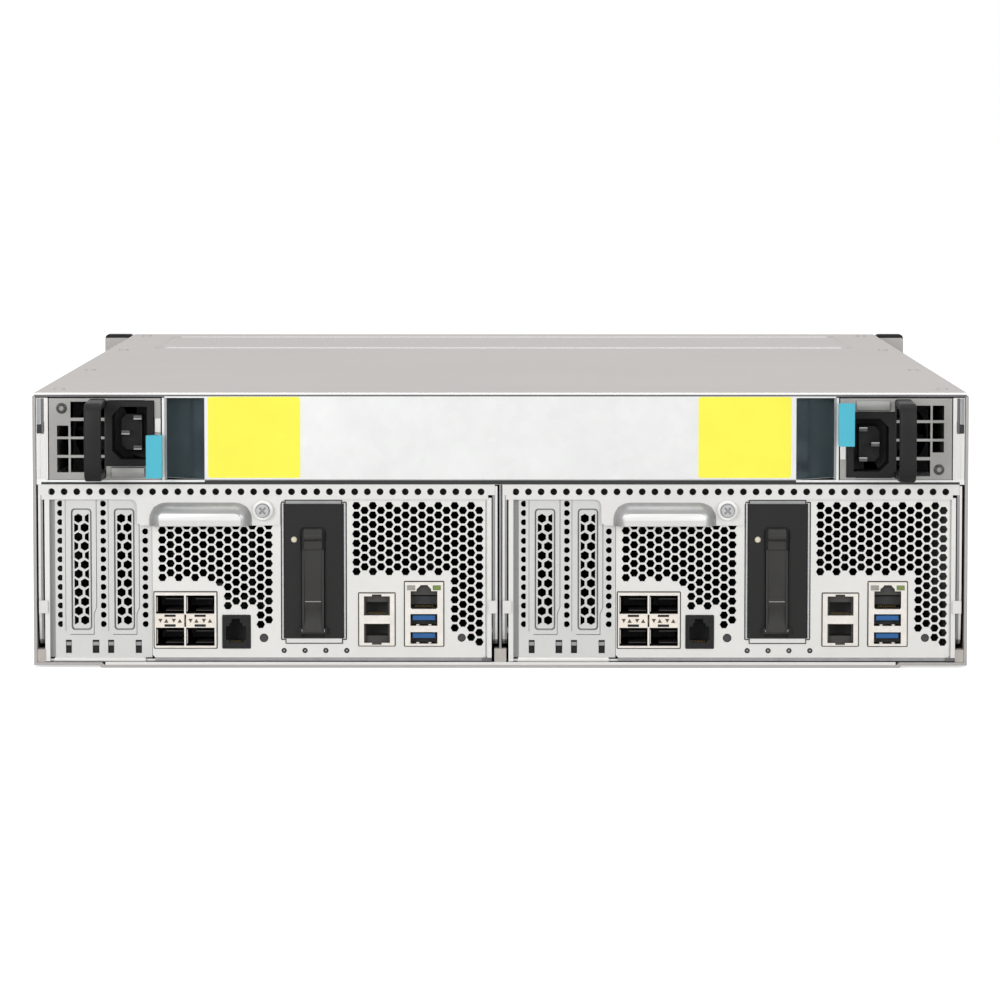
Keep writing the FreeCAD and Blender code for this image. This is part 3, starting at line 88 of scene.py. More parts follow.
def finish(
    name, screen, metal=0.0, rough=0.5, cloud=(0.05, 25), grain=0.06, grain_size=0.8,
    stretch=(1, 1, 1), bump=0.05, spangle=None, coat=0.0, specular=0.5,
):
    """A node material: clouded colour, optional zinc spangle, grain in gloss and relief.

    cloud and spangle are an amount and a size in mm.
    """
    colour = shade(*screen)
    material = bpy.data.materials.new(name)
    material.use_nodes = True
    material.diffuse_color = (*colour, 1)
    nodes = material.node_tree.nodes
    place = nodes.new("ShaderNodeTexCoord").outputs["Object"]
    sizes = [factor / MM for factor in stretch]
    ground = fill(nodes.new("ShaderNodeMapping"), Vector=place, Scale=sizes).outputs["Vector"]

    def noise(size, detail):
        node = nodes.new("ShaderNodeTexNoise")
        return fill(node, Vector=ground, Scale=1 / size, Detail=detail).outputs["Fac"]

    def mix(factor, low, high):
        node = nodes.new("ShaderNodeMix")
        node.data_type = "RGBA"
        fill(node, Factor=factor)
        sockets = [entry for entry in node.inputs if entry.type == "RGBA"]
        for socket, value in zip(sockets, (low, high)):
            connect(socket, value)
        return [entry for entry in node.outputs if entry.type == "RGBA"][0]

    def span(factor, low, high, start=0.3, end=0.7):
        node = nodes.new("ShaderNodeMapRange")
        fill(node, Value=factor, From_Min=start, From_Max=end, To_Min=low, To_Max=high)
        return node.outputs["Result"]

    def scaled(amount):
        return (*(min(1.0, channel * amount) for channel in colour), 1)

    mottle, mottle_size = cloud
    tint = mix(span(noise(mottle_size, 3), 0, 1), scaled(1 - mottle), scaled(1 + mottle))
    fine = noise(grain_size, 2)
    if spangle:
        cells = fill(nodes.new("ShaderNodeTexVoronoi"), Vector=ground, Scale=1 / spangle[1])
        split = fill(nodes.new("ShaderNodeSeparateColor"), cells.outputs["Color"])
        tint = mix(span(split.outputs["Red"], 0, spangle[0], 0, 1), tint, scaled(FLAKE_DARK))
    relief = fill(nodes.new("ShaderNodeBump"), Strength=bump, Distance=RELIEF * MM, Height=fine)
    fill(
        nodes["Principled BSDF"], Base_Color=tint, Metallic=metal, Specular_IOR_Level=specular,
        Roughness=span(fine, rough - grain, rough + grain), Normal=relief.outputs["Normal"],
        Coat_Weight=coat, Coat_Roughness=COAT_ROUGHNESS,
    )
    return material


CASE_PAINT = finish(
    "case_paint", (199, 194, 191), metal=0.2, rough=0.48, cloud=(0.025, 160), grain_size=0.5, bump=0.15,
    specular=0.3,
)
ZINC = finish("zinc_sheet", (231, 232, 231), metal=0.75, rough=0.36, cloud=(0.03, 22), spangle=(0.07, 5))
PANEL = finish(
    "panel_steel", (219, 218, 215), metal=0.45, rough=0.42, cloud=(0.025, 40), grain_size=0.5, bump=0.06,
)
# a darker copy of the panel steel: painted shade for the part with the slots and the cover plates behind
# it
SLOT_STRIP_SHADE = finish(
    "slot_strip_painted_shade", (203, 203, 201), metal=0.45, rough=0.42, cloud=(0.03, 30), grain_size=0.5, bump=0.06,
)
PANEL_BRUSHED = finish(
    "lever_steel", (217, 216, 214), metal=0.35, rough=0.4, cloud=(0.02, 12), stretch=(0.3, 1, 1),
    grain_size=0.5, bump=0.03,
)
STEEL = finish("screw_steel", (205, 205, 207), metal=0.95, rough=0.25, cloud=(0.06, 4), bump=0.08)
TIN = finish("tin_plate", (236, 231, 224), metal=0.7, rough=0.34, cloud=(0.05, 6))
# darkened tin for the inside of the bays, painted shade
CAGE_INSIDE_SHADE = finish("cage_inside_painted_shade", (74, 68, 62), metal=0.8, rough=0.4, cloud=(0.3, 3), bump=0.2)
SUPPLY_ZINC = finish(
    "supply_zinc", (157, 156, 153), metal=0.55, rough=0.45, cloud=(0.05, 18), grain_size=0.6, bump=0.08,
)
SHADED_STEEL = finish(
    "shaded_steel", (150, 150, 151), metal=0.6, rough=0.42, cloud=(0.1, 9), stretch=(1, 1, 0.1),
    bump=0.06,
)
BLOCK_GREY = finish("corner_block", (172, 167, 160), metal=0.4, rough=0.5, cloud=(0.08, 5), bump=0.15)
BLACK = finish(
    "black_plastic", (25, 25, 25), rough=0.52, specular=0.24, cloud=(0.12, 14), grain_size=0.35,
    bump=0.35,
)
BATTERY_BLACK = finish(
    "battery_black", (29, 28, 28), rough=0.46, cloud=(0.08, 22), grain_size=0.3, bump=0.25, specular=0.26,
)
PULL_BLACK = finish(
    "pull_black", (48, 47, 46), rough=0.44, cloud=(0.08, 18), grain_size=0.3, bump=0.2, specular=0.3,
)
CLIP_GREY = finish("clip_grey", (214, 213, 211), rough=0.4, cloud=(0.03, 4))
DARK_STEEL = finish(
    "dark_steel", (104, 104, 106), metal=0.5, rough=0.45, cloud=(0.1, 9), stretch=(1, 1, 0.1), bump=0.06,
)
# black of the sockets, also used for sheets of painted shade in gaps, holes and behind vents
SOCKET_BLACK_AND_SHADE = finish("socket_black_and_painted_shade", (31, 31, 32), rough=0.6, cloud=(0.15, 5), bump=0.2)
SOCKET_GREY = finish("socket_grey", (50, 48, 46), rough=0.5, cloud=(0.15, 5), bump=0.2)
TEAL = finish(
    "latch_teal", (74, 178, 199), rough=0.38, cloud=(0.04, 10), grain_size=0.5, bump=0.12, specular=0.4,
)
YELLOW = finish(
    "patch_yellow", (243, 237, 82), rough=0.6, cloud=(0.02, 18), grain_size=0.4, bump=0.08, specular=0.25,
)
SLATE = finish("slate_sheet", (76, 88, 93), metal=0.8, rough=0.2, cloud=(0.12, 26))
# green of the circuit boards, darkened as painted shade for boards seen inside the case
BOARD_IN_SHADE = finish("board_green", (18, 52, 38), rough=0.4, cloud=(0.2, 9), grain_size=1.6, grain=0.1, bump=0.4)
# gold of the contacts, darkened as painted shade inside the sockets
SHADED_COPPER = finish("contact_gold_painted_shade", (112, 94, 62), metal=0.85, rough=0.28, cloud=(0.06, 3))
BLUE = finish("socket_blue", (22, 84, 142), rough=0.42, cloud=(0.08, 4), bump=0.1)
PIPE = finish("light_pipe", (232, 224, 212), rough=0.42, cloud=(0.04, 4), bump=0.06)
MARK = finish("dark_mark", (74, 66, 60), rough=0.5, cloud=(0.1, 1.5), bump=0.1)
CREAM = finish("lamp_cream", (214, 207, 184), rough=0.22, cloud=(0.05, 1.2), coat=0.6)
LENS = finish("lamp_dark", (52, 52, 54), rough=0.2, cloud=(0.12, 1.5), coat=0.5)
GREEN = finish("lamp_green", (112, 132, 66), rough=0.3, cloud=(0.08, 1.5), coat=0.4)
# grey of a lamp window, also used for painted highlights on lamp lenses and the battery lever
GREY = finish("lamp_grey_and_painted_highlight", (150, 148, 142), rough=0.3, cloud=(0.08, 1.5), coat=0.4)
BEZEL = finish("tray_bezel", (58, 58, 60), rough=0.5, cloud=(0.08, 22), grain_size=0.4, bump=0.3)
LEVER_BLACK = finish("tray_lever", (36, 36, 37), rough=0.36, cloud=(0.08, 16), grain_size=0.4, bump=0.2)
TRAY_STEEL = finish("tray_steel", (186, 187, 189), metal=0.75, rough=0.35, cloud=(0.06, 20))
DISK_PLATE = finish("disk_plate", (206, 206, 204), metal=0.4, rough=0.5, cloud=(0.05, 30))
EAR_PAINT = finish(
    "ear_paint", (182, 179, 176), metal=0.25, rough=0.5, cloud=(0.03, 60), grain_size=0.5, bump=0.12,
)
WALL_PAINT = finish(
    "wall_paint", (166, 163, 161), metal=0.25, rough=0.5, cloud=(0.03, 90), grain_size=0.5, bump=0.12,
)
# a lighter, glossier copy of the cover's paint: painted highlight on its rolled edge and bead
COVER_EDGE_HIGHLIGHT = finish("cover_edge_painted_highlight", (228, 226, 224), metal=0.3, rough=0.25, cloud=(0.02, 60), bump=0.03)
# painted shade for the grip's slopes and a painted highlight for its face
GRIP_SLOPE_SHADE = finish("grip_slope_painted_shade", (160, 160, 160), metal=0.55, rough=0.35, cloud=(0.04, 12), bump=0.03)
GRIP_FACE_HIGHLIGHT = finish("grip_face_painted_highlight", (230, 230, 229), metal=0.2, rough=0.35, cloud=(0.015, 12), bump=0.02)
RING = finish("ring_white", (244, 243, 241), rough=0.35, cloud=(0.02, 4))


# Shapes.


def rectangle(left, right, low, top):
    return [(left, low), (right, low), (right, top), (left, top)]


def rounded(left, right, low, top, radius, steps=4):
    """A rectangle with round corners."""
    points = []
    for x, z, start in (
        (right - radius, top - radius, 0), (left + radius, top - radius, 90),
        (left + radius, low + radius, 180), (right - radius, low + radius, 270),
    ):
        for step in range(steps + 1):
            angle = math.radians(start + 90 * step / steps)
            points.append((x + radius * math.cos(angle), z + radius * math.sin(angle)))
    return points


def circle(x, z, radius, steps=16, start=0):
    turns = [math.radians(start) + math.tau * step / steps for step in range(steps)]
    return [(x + radius * math.cos(a), z + radius * math.sin(a)) for a in turns]


def hexagon(x, z, across, flat_top=True):
    """A hexagon by its size across flats."""
    return circle(x, z, across / math.sqrt(3), 6, 0 if flat_top else 30)


def trimmed(points, left=-1e9, right=1e9):
    """An outline that something covers beyond an upright line."""
    return [(min(max(x, left), right), z) for x, z in points]


def grown(box, by):
    """Left, right, low and top of a rectangle, moved out on all sides."""
    left, right, low, top = box
    return left - by, right + by, low - by, top + by


def groove(line, width):
    """The outline of a narrow gap that follows a line."""
    ahead, back = [], []
    for i, (x, z) in enumerate(line):
        before, after = line[max(i - 1, 0)], line[min(i + 1, len(line) - 1)]
        ways = []
        for (a, b), (c, d) in ((before, (x, z)), ((x, z), after)):
            if (a, b) != (c, d):
                ways.append(Vector((c - a, d - b)).normalized())
        across = Vector((-sum(w.y for w in ways), sum(w.x for w in ways))).normalized()
        across *= width / 2 / across.dot(Vector((-ways[0].y, ways[0].x)))
        ahead.append((x + across.x, z + across.y))
        back.append((x - across.x, z - across.y))
    return ahead + back[::-1]


def cross(x, y, reach, half):
    """The outline of a cross recess, turned by 45 degrees."""
    points = []
    for turn in range(4):
        angle = math.radians(45 + 90 * turn)
        for u, v in ((reach, -half), (reach, half), (half, half)):
            points.append((
                x + u * math.cos(angle) - v * math.sin(angle),
                y + u * math.sin(angle) + v * math.cos(angle),
            ))
    return points


def mirrored(side, first, second):
    """A stretch of x on the side -1 or 1, from its lower end."""
    return sorted((side * first, side * second))


def measured(name):
    """Where a node lies: its ends in x, in depth and in z."""
    shifts = (0, REAR_Y, 0)
    return [(low / MM - shift, high / MM - shift) for low, high, shift in zip(*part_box(name), shifts)]


def linked(name, data):
    """A new object in the scene."""
    made = bpy.data.objects.new(name, data)
    bpy.context.scene.collection.objects.link(made)
    return made


SHARP_ANGLE, BEVEL_ANGLE, WELD = 32, 40, 0.001
PLACES = {
    "y": lambda u, v, w: (u, w, v),
    "x": lambda u, v, w: (w, u, v),
    "z": lambda u, v, w: (u, v, w),
}


class Shape:
    """Collects the solids of one piece. Points are (x, depth, z)."""

    def __init__(self):
        self.mesh = bmesh.new()
        self.materials = []

    def number(self, material):
        if material not in self.materials:
            self.materials.append(material)
        return self.materials.index(material)

    def add(self, points, faces, material):
        corners = [self.mesh.verts.new(point) for point in points]
        number = self.number(material)
        for face in faces:
            made = self.mesh.faces.new([corners[index] for index in face])
            made.material_index = number

    def prism(self, outline, low, high, material, axis="y"):
        """An outline pushed along an axis. Its points are (x, z), (depth, z) or (x, depth)."""
        rings = [[PLACES[axis](u, v, end) for u, v in outline] for end in (low, high)]
        self.loft(rings, material)

    def box(self, left, right, start, end, low, top, material):
        self.prism(rectangle(left, right, low, top), start, end, material)

    def rod(self, u, v, radius, low, high, material, axis="y", steps=24):
        self.prism(circle(u, v, radius, steps), low, high, material, axis)

    def frustum(self, u, v, first, second, low, high, material, steps=32):
        """A cone slice along the depth, such as a lens or a chamfered head."""
        ends = ((first, low), (second, high))
        rings = [[(a, d, b) for a, b in circle(u, v, radius, steps)] for radius, d in ends]
        self.loft(rings, material)

    def loft(self, rings, material, ends=True, closed=True):
        """Joins rings of equal length into a skin."""
        count = len(rings[0])
        points = [point for ring in rings for point in ring]
        faces = [list(range(count)), [len(points) - 1 - i for i in range(count)]] if ends else []
        for ring in range(len(rings) - 1):
            for i in range(count if closed else count - 1):
                j = (i + 1) % count
                a, b = ring * count, (ring + 1) * count
                faces.append((a + i, a + j, b + j, b + i))
        self.add(points, faces, material)

    def sheet(self, outline, holes, low, high, material, axis="y"):
        """A plate with holes in it."""
        curve = bpy.data.curves.new("sheet", "CURVE")
        curve.dimensions = "2D"
        curve.fill_mode = "BOTH"
        curve.extrude = (high - low) / 2
        for line in [outline] + list(holes):
            spline = curve.splines.new("POLY")
            spline.points.add(len(line) - 1)
            for point, (u, v) in zip(spline.points, line):
                point.co = (u, v, 0, 1)
            spline.use_cyclic_u = True
        holder = linked("sheet", curve)
        graph = bpy.context.evaluated_depsgraph_get()
        flat = bpy.data.meshes.new_from_object(holder.evaluated_get(graph))
        middle = (low + high) / 2
        points = [PLACES[axis](v.co.x, v.co.y, middle + v.co.z) for v in flat.vertices]
        self.add(points, [list(p.vertices) for p in flat.polygons], material)
        bpy.data.objects.remove(holder)
        bpy.data.curves.remove(curve)
        bpy.data.meshes.remove(flat)

    def mesh_data(self, name):
        """The finished mesh in metres, with its steep edges sharp."""
        mesh = self.mesh
        for corner in mesh.verts:
            corner.co = Vector(corner.co) * MM + Vector((0, REAR_Y * MM, 0))
        bmesh.ops.remove_doubles(mesh, verts=mesh.verts, dist=WELD * MM)
        bmesh.ops.recalc_face_normals(mesh, faces=mesh.faces)
        for face in mesh.faces:
            face.smooth = True
        for edge in mesh.edges:
            edge.smooth = edge.is_manifold and edge.calc_face_angle() < math.radians(SHARP_ANGLE)
        data = bpy.data.meshes.new(name)
        mesh.to_mesh(data)
        mesh.free()
        for material in self.materials:
            data.materials.append(material)
        return data


def place(name, data, body, slot, node=None, bevel=0, where=None):
    """Puts a mesh into the scene as a piece that rides on a body, in place of a node."""
    piece = linked(name, data)
    if where is not None:
        piece.matrix_world = where
    if bevel:
        edge = piece.modifiers.new("edges", "BEVEL")
        edge.width = bevel * MM
        edge.segments = 2
        edge.limit_method = "ANGLE"
        edge.angle_limit = math.radians(BEVEL_ANGLE)
    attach(piece, body)
    if node:
        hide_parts(node)


def mesh_of(name, build):
    """The mesh that a build function draws on an empty shape."""
    shape = Shape()
    build(shape)
    return shape.mesh_data(name)


def on_root(name, build, slot, node=None):
    place(name, mesh_of(name, build), "root", slot, node)


def on_pair(kind, turns, label, part, build, slot, node=None, bevel=0):
    """The same piece on the left and the right. part is the end of the body's name, or ''."""
    data = mesh_of(label, build)
    for side, where in zip(SIDES, turns):
        start = f"{kind}_{side}"
        body = start + ("_" + part if part else "")
        own_node = start + "_" + node if node else None
        place(f"{start}_{label}", data, body, slot, own_node, bevel, where)


def on_controllers(*row, **options):
    """The same piece on both controllers, which are alike."""
    turns = [Matrix.Translation((CONTROLLER_PITCH * MM * turn, 0, 0)) for turn in range(2)]
    on_pair("controller", turns, *row, **options)


def on_supplies(*row, **options):
    """The right power supply is the left one turned upside down."""
    turned = Matrix.Translation((0, 0, 2 * PSU_TURN_Z * MM)) @ Matrix.Rotation(math.pi, 4, "Y")
    on_pair("psu", (Matrix(), turned), *row, **options)


def dress(material, *names):
    """Gives nodes that no piece replaces their material."""
    for name in names:
        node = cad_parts[name]
        node.data.materials.clear()
        node.data.materials.append(material)


# Controller: rear panel.

CASE_LEFT, CASE_RIGHT, CASE_LOW, CASE_TOP = -216.5, -6, 3.1, 86.5
PANEL_OUT, PANEL_IN = 1.8, 3
PLATE_OUT = 1.5
HEX_ACROSS, HEX_ROW, HEX_COLUMN = 3.6, 4.51, 3.912
LEFT_CELLS = (6, 6, 6, 6, 6, 6, 6, 7, 9, 9, 9, 9, 11, 11)
RIGHT_CELLS = (8, 7) * 6 + (14, 13, 15, 15)


def comb(first_x, even_top, odd_top, counts):
    """Cells of a vented area, column by column from its left."""
    cells = []
    for column, count in enumerate(counts):
        top = odd_top if column % 2 else even_top
        for row in range(count):
            x, z = first_x + HEX_COLUMN * column, top - HEX_ROW * row
            cells.append(hexagon(x, z, HEX_ACROSS))
    return cells


PORT_GAP = 0.55
BLOCKS = {
    "cage": (-165.4, -135.8, 9.6, 36.2),
    "service": (-132.6, -119.9, 9.6, 24.9),
    "pair": (-67.5, -50.6, 10.7, 35.7),
    "mixed": (-45.6, -27.3, 10.6, 41.2),
    "battery": (-104.4, -73.9, 13.8, 79.2),
}
LAMP_XS = (-103.5, -93.5, -83.5, -73.5)
LAMP_Z = 8.2
SLOTS = ((-205.2, -195.3, 18, 76.4), (-184.7, -174.8, 18, 76.4))
DOT_STEP = 4.446
RETENTION_XS = ((-208, -205.2), (-195.2, -192), (-187.8, -184.9), (-174.6, -171.6))
SCREW = (-113.3, 75.8)
BUTTON = (-18.5, 14.4)
PIN = (9, 17.4)
SEAM_X = -166.4
STRIP_LOW, LIP_TOP = 81.6, 4.9
EDGE_OUT, EDGE_IN = -215.4, -212.8
FIRST_VENT, VENT_STEP, VENTS, VENT_Z = -214.2, 6.03, 35, 84.55


def build_panel(shape):
    """The tray of a controller with its rear panel."""
    # left part with the expansion slots, in a darker steel as painted shade
    holes = [rectangle(left, right, 6.9, 13.3) for left, right in RETENTION_XS]
    for row in range(14):
        z = 78.7 - DOT_STEP * row
        holes.append(trimmed(circle(-210.3, z, 1.5), right=-209.45))
        holes.append(trimmed(circle(-189.9, z, 1.5), left=-191.1))
        if row > 2:
            holes.append(trimmed(circle(-169.7, z, 1.5), right=-168.4))
    groove_top = STRIP_LOW - 0.9
    for slot in SLOTS:
        left = slot[0]
        fold = [
            (left + 12.1, groove_top), (left + 12.1, 29), (left + 10.8, 25.8),
            (left + 10.8, 15.9), (left - 0.6, 15.9),
        ]
        edge = [(left - 2.7, groove_top), (left - 2.7, 17.4)]
        holes += [rounded(*slot, 1.7), groove(fold, 0.28), groove(edge, 0.2)]
    plate = rectangle(EDGE_IN, SEAM_X - 0.2, LIP_TOP, STRIP_LOW)
    shape.sheet(plate, holes, PANEL_OUT, PANEL_IN, SLOT_STRIP_SHADE)
    # shaded fold beside it, bright edge and the rolled lip below
    shape.box(EDGE_OUT, EDGE_IN, 3.4, 4.2, LIP_TOP, STRIP_LOW, SHADED_STEEL)
    shape.box(CASE_LEFT - 1.2, EDGE_OUT, 0.5, 4.2, CASE_LOW, STRIP_LOW, PANEL)
    lip = [(1.2, 2.9), (0.7, 3.1), (0.5, 3.6), (0.6, 4.3), (1.2, LIP_TOP), (3, LIP_TOP), (3, 3)]
    shape.prism(lip, EDGE_OUT + 2.2, SEAM_X - 3.4, PANEL, "x")
    # strip with the row of vents that the lever's flange repeats
    vents = [circle(FIRST_VENT + VENT_STEP * i, VENT_Z, 1.75) for i in range(VENTS)]
    strip = rectangle(CASE_LEFT, CASE_RIGHT, STRIP_LOW, CASE_TOP + 0.6)
    shape.sheet(strip, vents, PANEL_OUT, PANEL_IN, PANEL)
    # black sheet behind the vents, painted shade for the inside of the case
    shape.box(CASE_LEFT, CASE_RIGHT, 5.5, 6, 79, CASE_TOP, SOCKET_BLACK_AND_SHADE)
    # bent tongues at the top of the retention slots
    for left, right in RETENTION_XS:
        shape.box(left + 0.2, right - 0.2, PANEL_OUT + 0.3, PANEL_OUT + 0.9, 10.6, 12.3, SHADED_STEEL)
    # black sheet behind the retention slots, painted shade
    shape.box(-211, -169, 3.1, 3.5, 5.6, 14.6, BLACK)
    # connector part, a slightly raised plate
    holes = comb(-161.6, 65.84, 68.1, LEFT_CELLS)
    holes += comb(-68.75, 77.75, 75.5, RIGHT_CELLS)
    holes += [rounded(*grown(block, PORT_GAP), 0.5, 2) for block in BLOCKS.values()]
    holes += [circle(x, LAMP_Z, 1.3) for x in LAMP_XS]
    holes += [circle(-113.1, 14.3, 2.1), circle(*SCREW, 2.3), circle(*BUTTON, 2)]
    end = CASE_RIGHT - 1.1
    plate = [
        (SEAM_X + 1.2, LIP_TOP), (end, LIP_TOP), (end, STRIP_LOW), (SEAM_X, STRIP_LOW),
        (SEAM_X, LIP_TOP + 1.2),
    ]
    shape.sheet(plate, holes, PLATE_OUT, PANEL_IN, PANEL)
    shape.box(SEAM_X + 1.2, end, PLATE_OUT, PANEL_IN, CASE_LOW + 0.2, LIP_TOP, SHADED_STEEL)
    # dark gap round the fixed blocks, a black sheet in it as painted shade
    for name in ("cage", "service", "pair", "mixed"):
        gap = rounded(*grown(BLOCKS[name], PORT_GAP - 0.02), 0.5, 2)
        block = rectangle(*grown(BLOCKS[name], -0.1))
        shape.sheet(gap, [block], PLATE_OUT + 0.1, PANEL_IN, SOCKET_BLACK_AND_SHADE)
    # tray behind the panel
    skin, length = 1, 405
    shape.box(CASE_LEFT, CASE_RIGHT, PANEL_IN, length, CASE_LOW, CASE_LOW + skin, ZINC)
    for x in (CASE_LEFT, CASE_RIGHT - skin):
        shape.box(x, x + skin, PANEL_IN, length, CASE_LOW + skin, CASE_TOP, ZINC)
    for start, end in ((-220.8, CASE_LEFT), (CASE_RIGHT, -2.4)):
        shape.rod(*PIN, 2, start, end, STEEL, "x")
    # bright edge at the right, and a dark foot at each end
    shape.box(CASE_RIGHT - 0.3, CASE_RIGHT + 1.8, 0.5, 3, LIP_TOP, STRIP_LOW, PANEL)
    shape.box(CASE_RIGHT - 2.7, CASE_RIGHT + 1.8, 0.5, 1.4, CASE_LOW + 0.2, LIP_TOP, DARK_STEEL)


on_controllers("shell", "", build_panel, "panel_steel", "case")


def build_slot_covers(shape):
    """Cover plates with a pressed field of cells, seen through the panel's slots."""
    for slot in SLOTS:
        left, right = slot[0] + 1.45, slot[1] - 1.45
        holes = []
        for row in range(12):
            z = 71.6 - DOT_STEP * row
            if row % 2:
                holes.append(trimmed(hexagon(left, z, 3.9, False), left=left))
                holes.append(hexagon(right - 2, z, 3.9, False))
            else:
                holes.append(hexagon(left + 2, z, 3.9, False))
                holes.append(trimmed(hexagon(right, z, 3.9, False), right=right))
        plate, field = grown(slot, 2.2), rounded(*grown(slot, -1), 1)
        shape.sheet(rectangle(*plate), [field], 3.6, 4, SHADED_STEEL)
        # the field plate in the darker slot steel, painted shade
        shape.sheet(rounded(*grown(slot, -0.75), 1.2), holes, 2.5, 3.5, SLOT_STRIP_SHADE)
        shape.box(*plate[:2], 3.8, 13, plate[3] - 0.8, plate[3], PANEL)


on_controllers("slot_plates", "", build_slot_covers, "panel_steel", "slot_covers")


# Controller: ejector lever.

LEVER_LEFT, LEVER_RIGHT = -220.6, -2.6
GRIP = (-167.6, -118.6, 68.4, 79.4)


def build_lever(shape):
    """The ejector lever: vented flange, two arms and a moulded grip."""
    corner = [(-176.2, 80.8), (-175, 80.5), (-174.1, 79.8), (-173.6, 78.7), (-173.4, 77.4)]
    outline = [(LEVER_LEFT, 87.95), (LEVER_LEFT, 83), (-219, 83), (-219, 80.8)] + corner
    outline += [(-173.4, 69.6), (-171.6, 68.4), (-105.2, 68.4), (-105.2, 77.4)]
    outline += [(-105, 78.7), (-104.5, 79.8), (-103.6, 80.5), (-102.4, 80.8)]
    outline += [(-5.8, 80.8), (-5.8, 83), (LEVER_RIGHT, 83), (LEVER_RIGHT, 87.95)]
    holes = [circle(FIRST_VENT + VENT_STEP * i, VENT_Z, 1.65) for i in range(VENTS)]
    holes.append(circle(*SCREW, 1.9))
    left, right, low, top = GRIP
    holes.append(rounded(left + 1.5, right - 1.5, low + 1, top - 1.5, 2.5))
    shape.sheet(outline, holes, 0, 1.2, PANEL_BRUSHED)
    # side arms down to the pins, each a bright half beside a darker half of painted shade
    arm = [
        (0.05, 87.3), (0.05, 37.4), (2.4, 19), (3.6, 13.4), (6.6, 11), (11, 11),
        (15.4, 15), (15.4, 20), (7, 41.4), (7, 87.3),
    ]
    for x, bright, grey in ((LEVER_LEFT, 0, 1.1), (LEVER_RIGHT - 1.1, 1.2, 0)):
        pin = [circle(*PIN, 2.3)]
        shape.sheet(arm, pin, x + bright, x + bright + 1.1, PANEL, "x")
        shape.sheet(arm, pin, x + grey, x + grey + 1.1, SHADED_STEEL, "x")
    # clips on the arms
    for clip in ((LEVER_LEFT + 0.1, CASE_LEFT + 0.2), (CASE_RIGHT + 0.4, -1.4)):
        shape.box(*clip, -0.7, 0, 26.3, 32.4, CLIP_GREY)
    # grip: a tub pressed out of the web and open below, its slopes painted shade and its upper face a
    # painted highlight
    rings = []
    for inset, out in (
        (0, 0), (0.3, -0.5), (1, -1.8), (2, -3.1), (3.2, -4.1), (4.2, -4.7), (5, -5),
    ):
        outline = rounded(left + inset, right - inset, low - 20, top - inset, 8 - inset, 6)
        arch = [(x, z) for x, z in outline if z > low]
        rings.append([(x, out, z) for x, z in [(right - inset, low)] + arch + [(left + inset, low)]])
    shape.loft(rings, GRIP_SLOPE_SHADE, ends=False, closed=False)
    step = low + 2.8
    face = [(x, out, z) for x, out, z in rings[-1] if z > step]
    ends = [(right - 5, -5, step), (left + 5, -5, step)]
    shape.add([ends[0]] + face + [ends[1]], [list(range(len(face) + 2))], GRIP_FACE_HIGHLIGHT)
    foot = [(right - 5, -4.7, low), (left + 5, -4.7, low)]
    shape.add([ends[1], ends[0]] + foot, [(0, 1, 2, 3)], PANEL_BRUSHED)


on_controllers("lever", "lever", build_lever, "spring_steel", "ejector_lever")


def build_lever_screw(shape):
    """White-ringed captive screw with a cross recess."""
    x, z = SCREW
    # the inner rings are darker steel, painted shade so that the cross recess reads dark
    for first, second, low, high, material in (
        (4.7, 4.9, -2.6, -0.3, RING), (4.7, 4.3, -2.6, -3, RING),
        (3.5, 3.5, -3.3, -3, SHADED_STEEL), (2.9, 3, -4.4, -3.3, SHADED_STEEL),
    ):
        shape.frustum(x, z, first, second, low, high, material)
    shape.sheet(circle(x, z, 3, 32), [cross(x, z, 2, 0.5)], -5.2, -4.4, STEEL)
    shape.rod(x, z, 1.5, -0.3, 3.6, STEEL)


on_controllers("captive_screw", "screw", build_lever_screw, "screw_steel", "lever_screw")


# Controller: connectors.

BAY_XS = ((-164.7, -151.2), (-150.3, -136.7))
BAY_ZS = ((10.6, 19.3), (26, 34.8))


def walls(shape, outer, inner, start, end, material):
    """Four walls between an outer and an inner rectangle."""
    left, right, low, top = outer
    in_left, in_right, in_low, in_top = inner
    shape.box(left, right, start, end, in_top, top, material)
    shape.box(left, right, start, end, low, in_low, material)
    shape.box(left, in_left, start, end, in_low, in_top, material)
    shape.box(in_right, right, start, end, in_low, in_top, material)


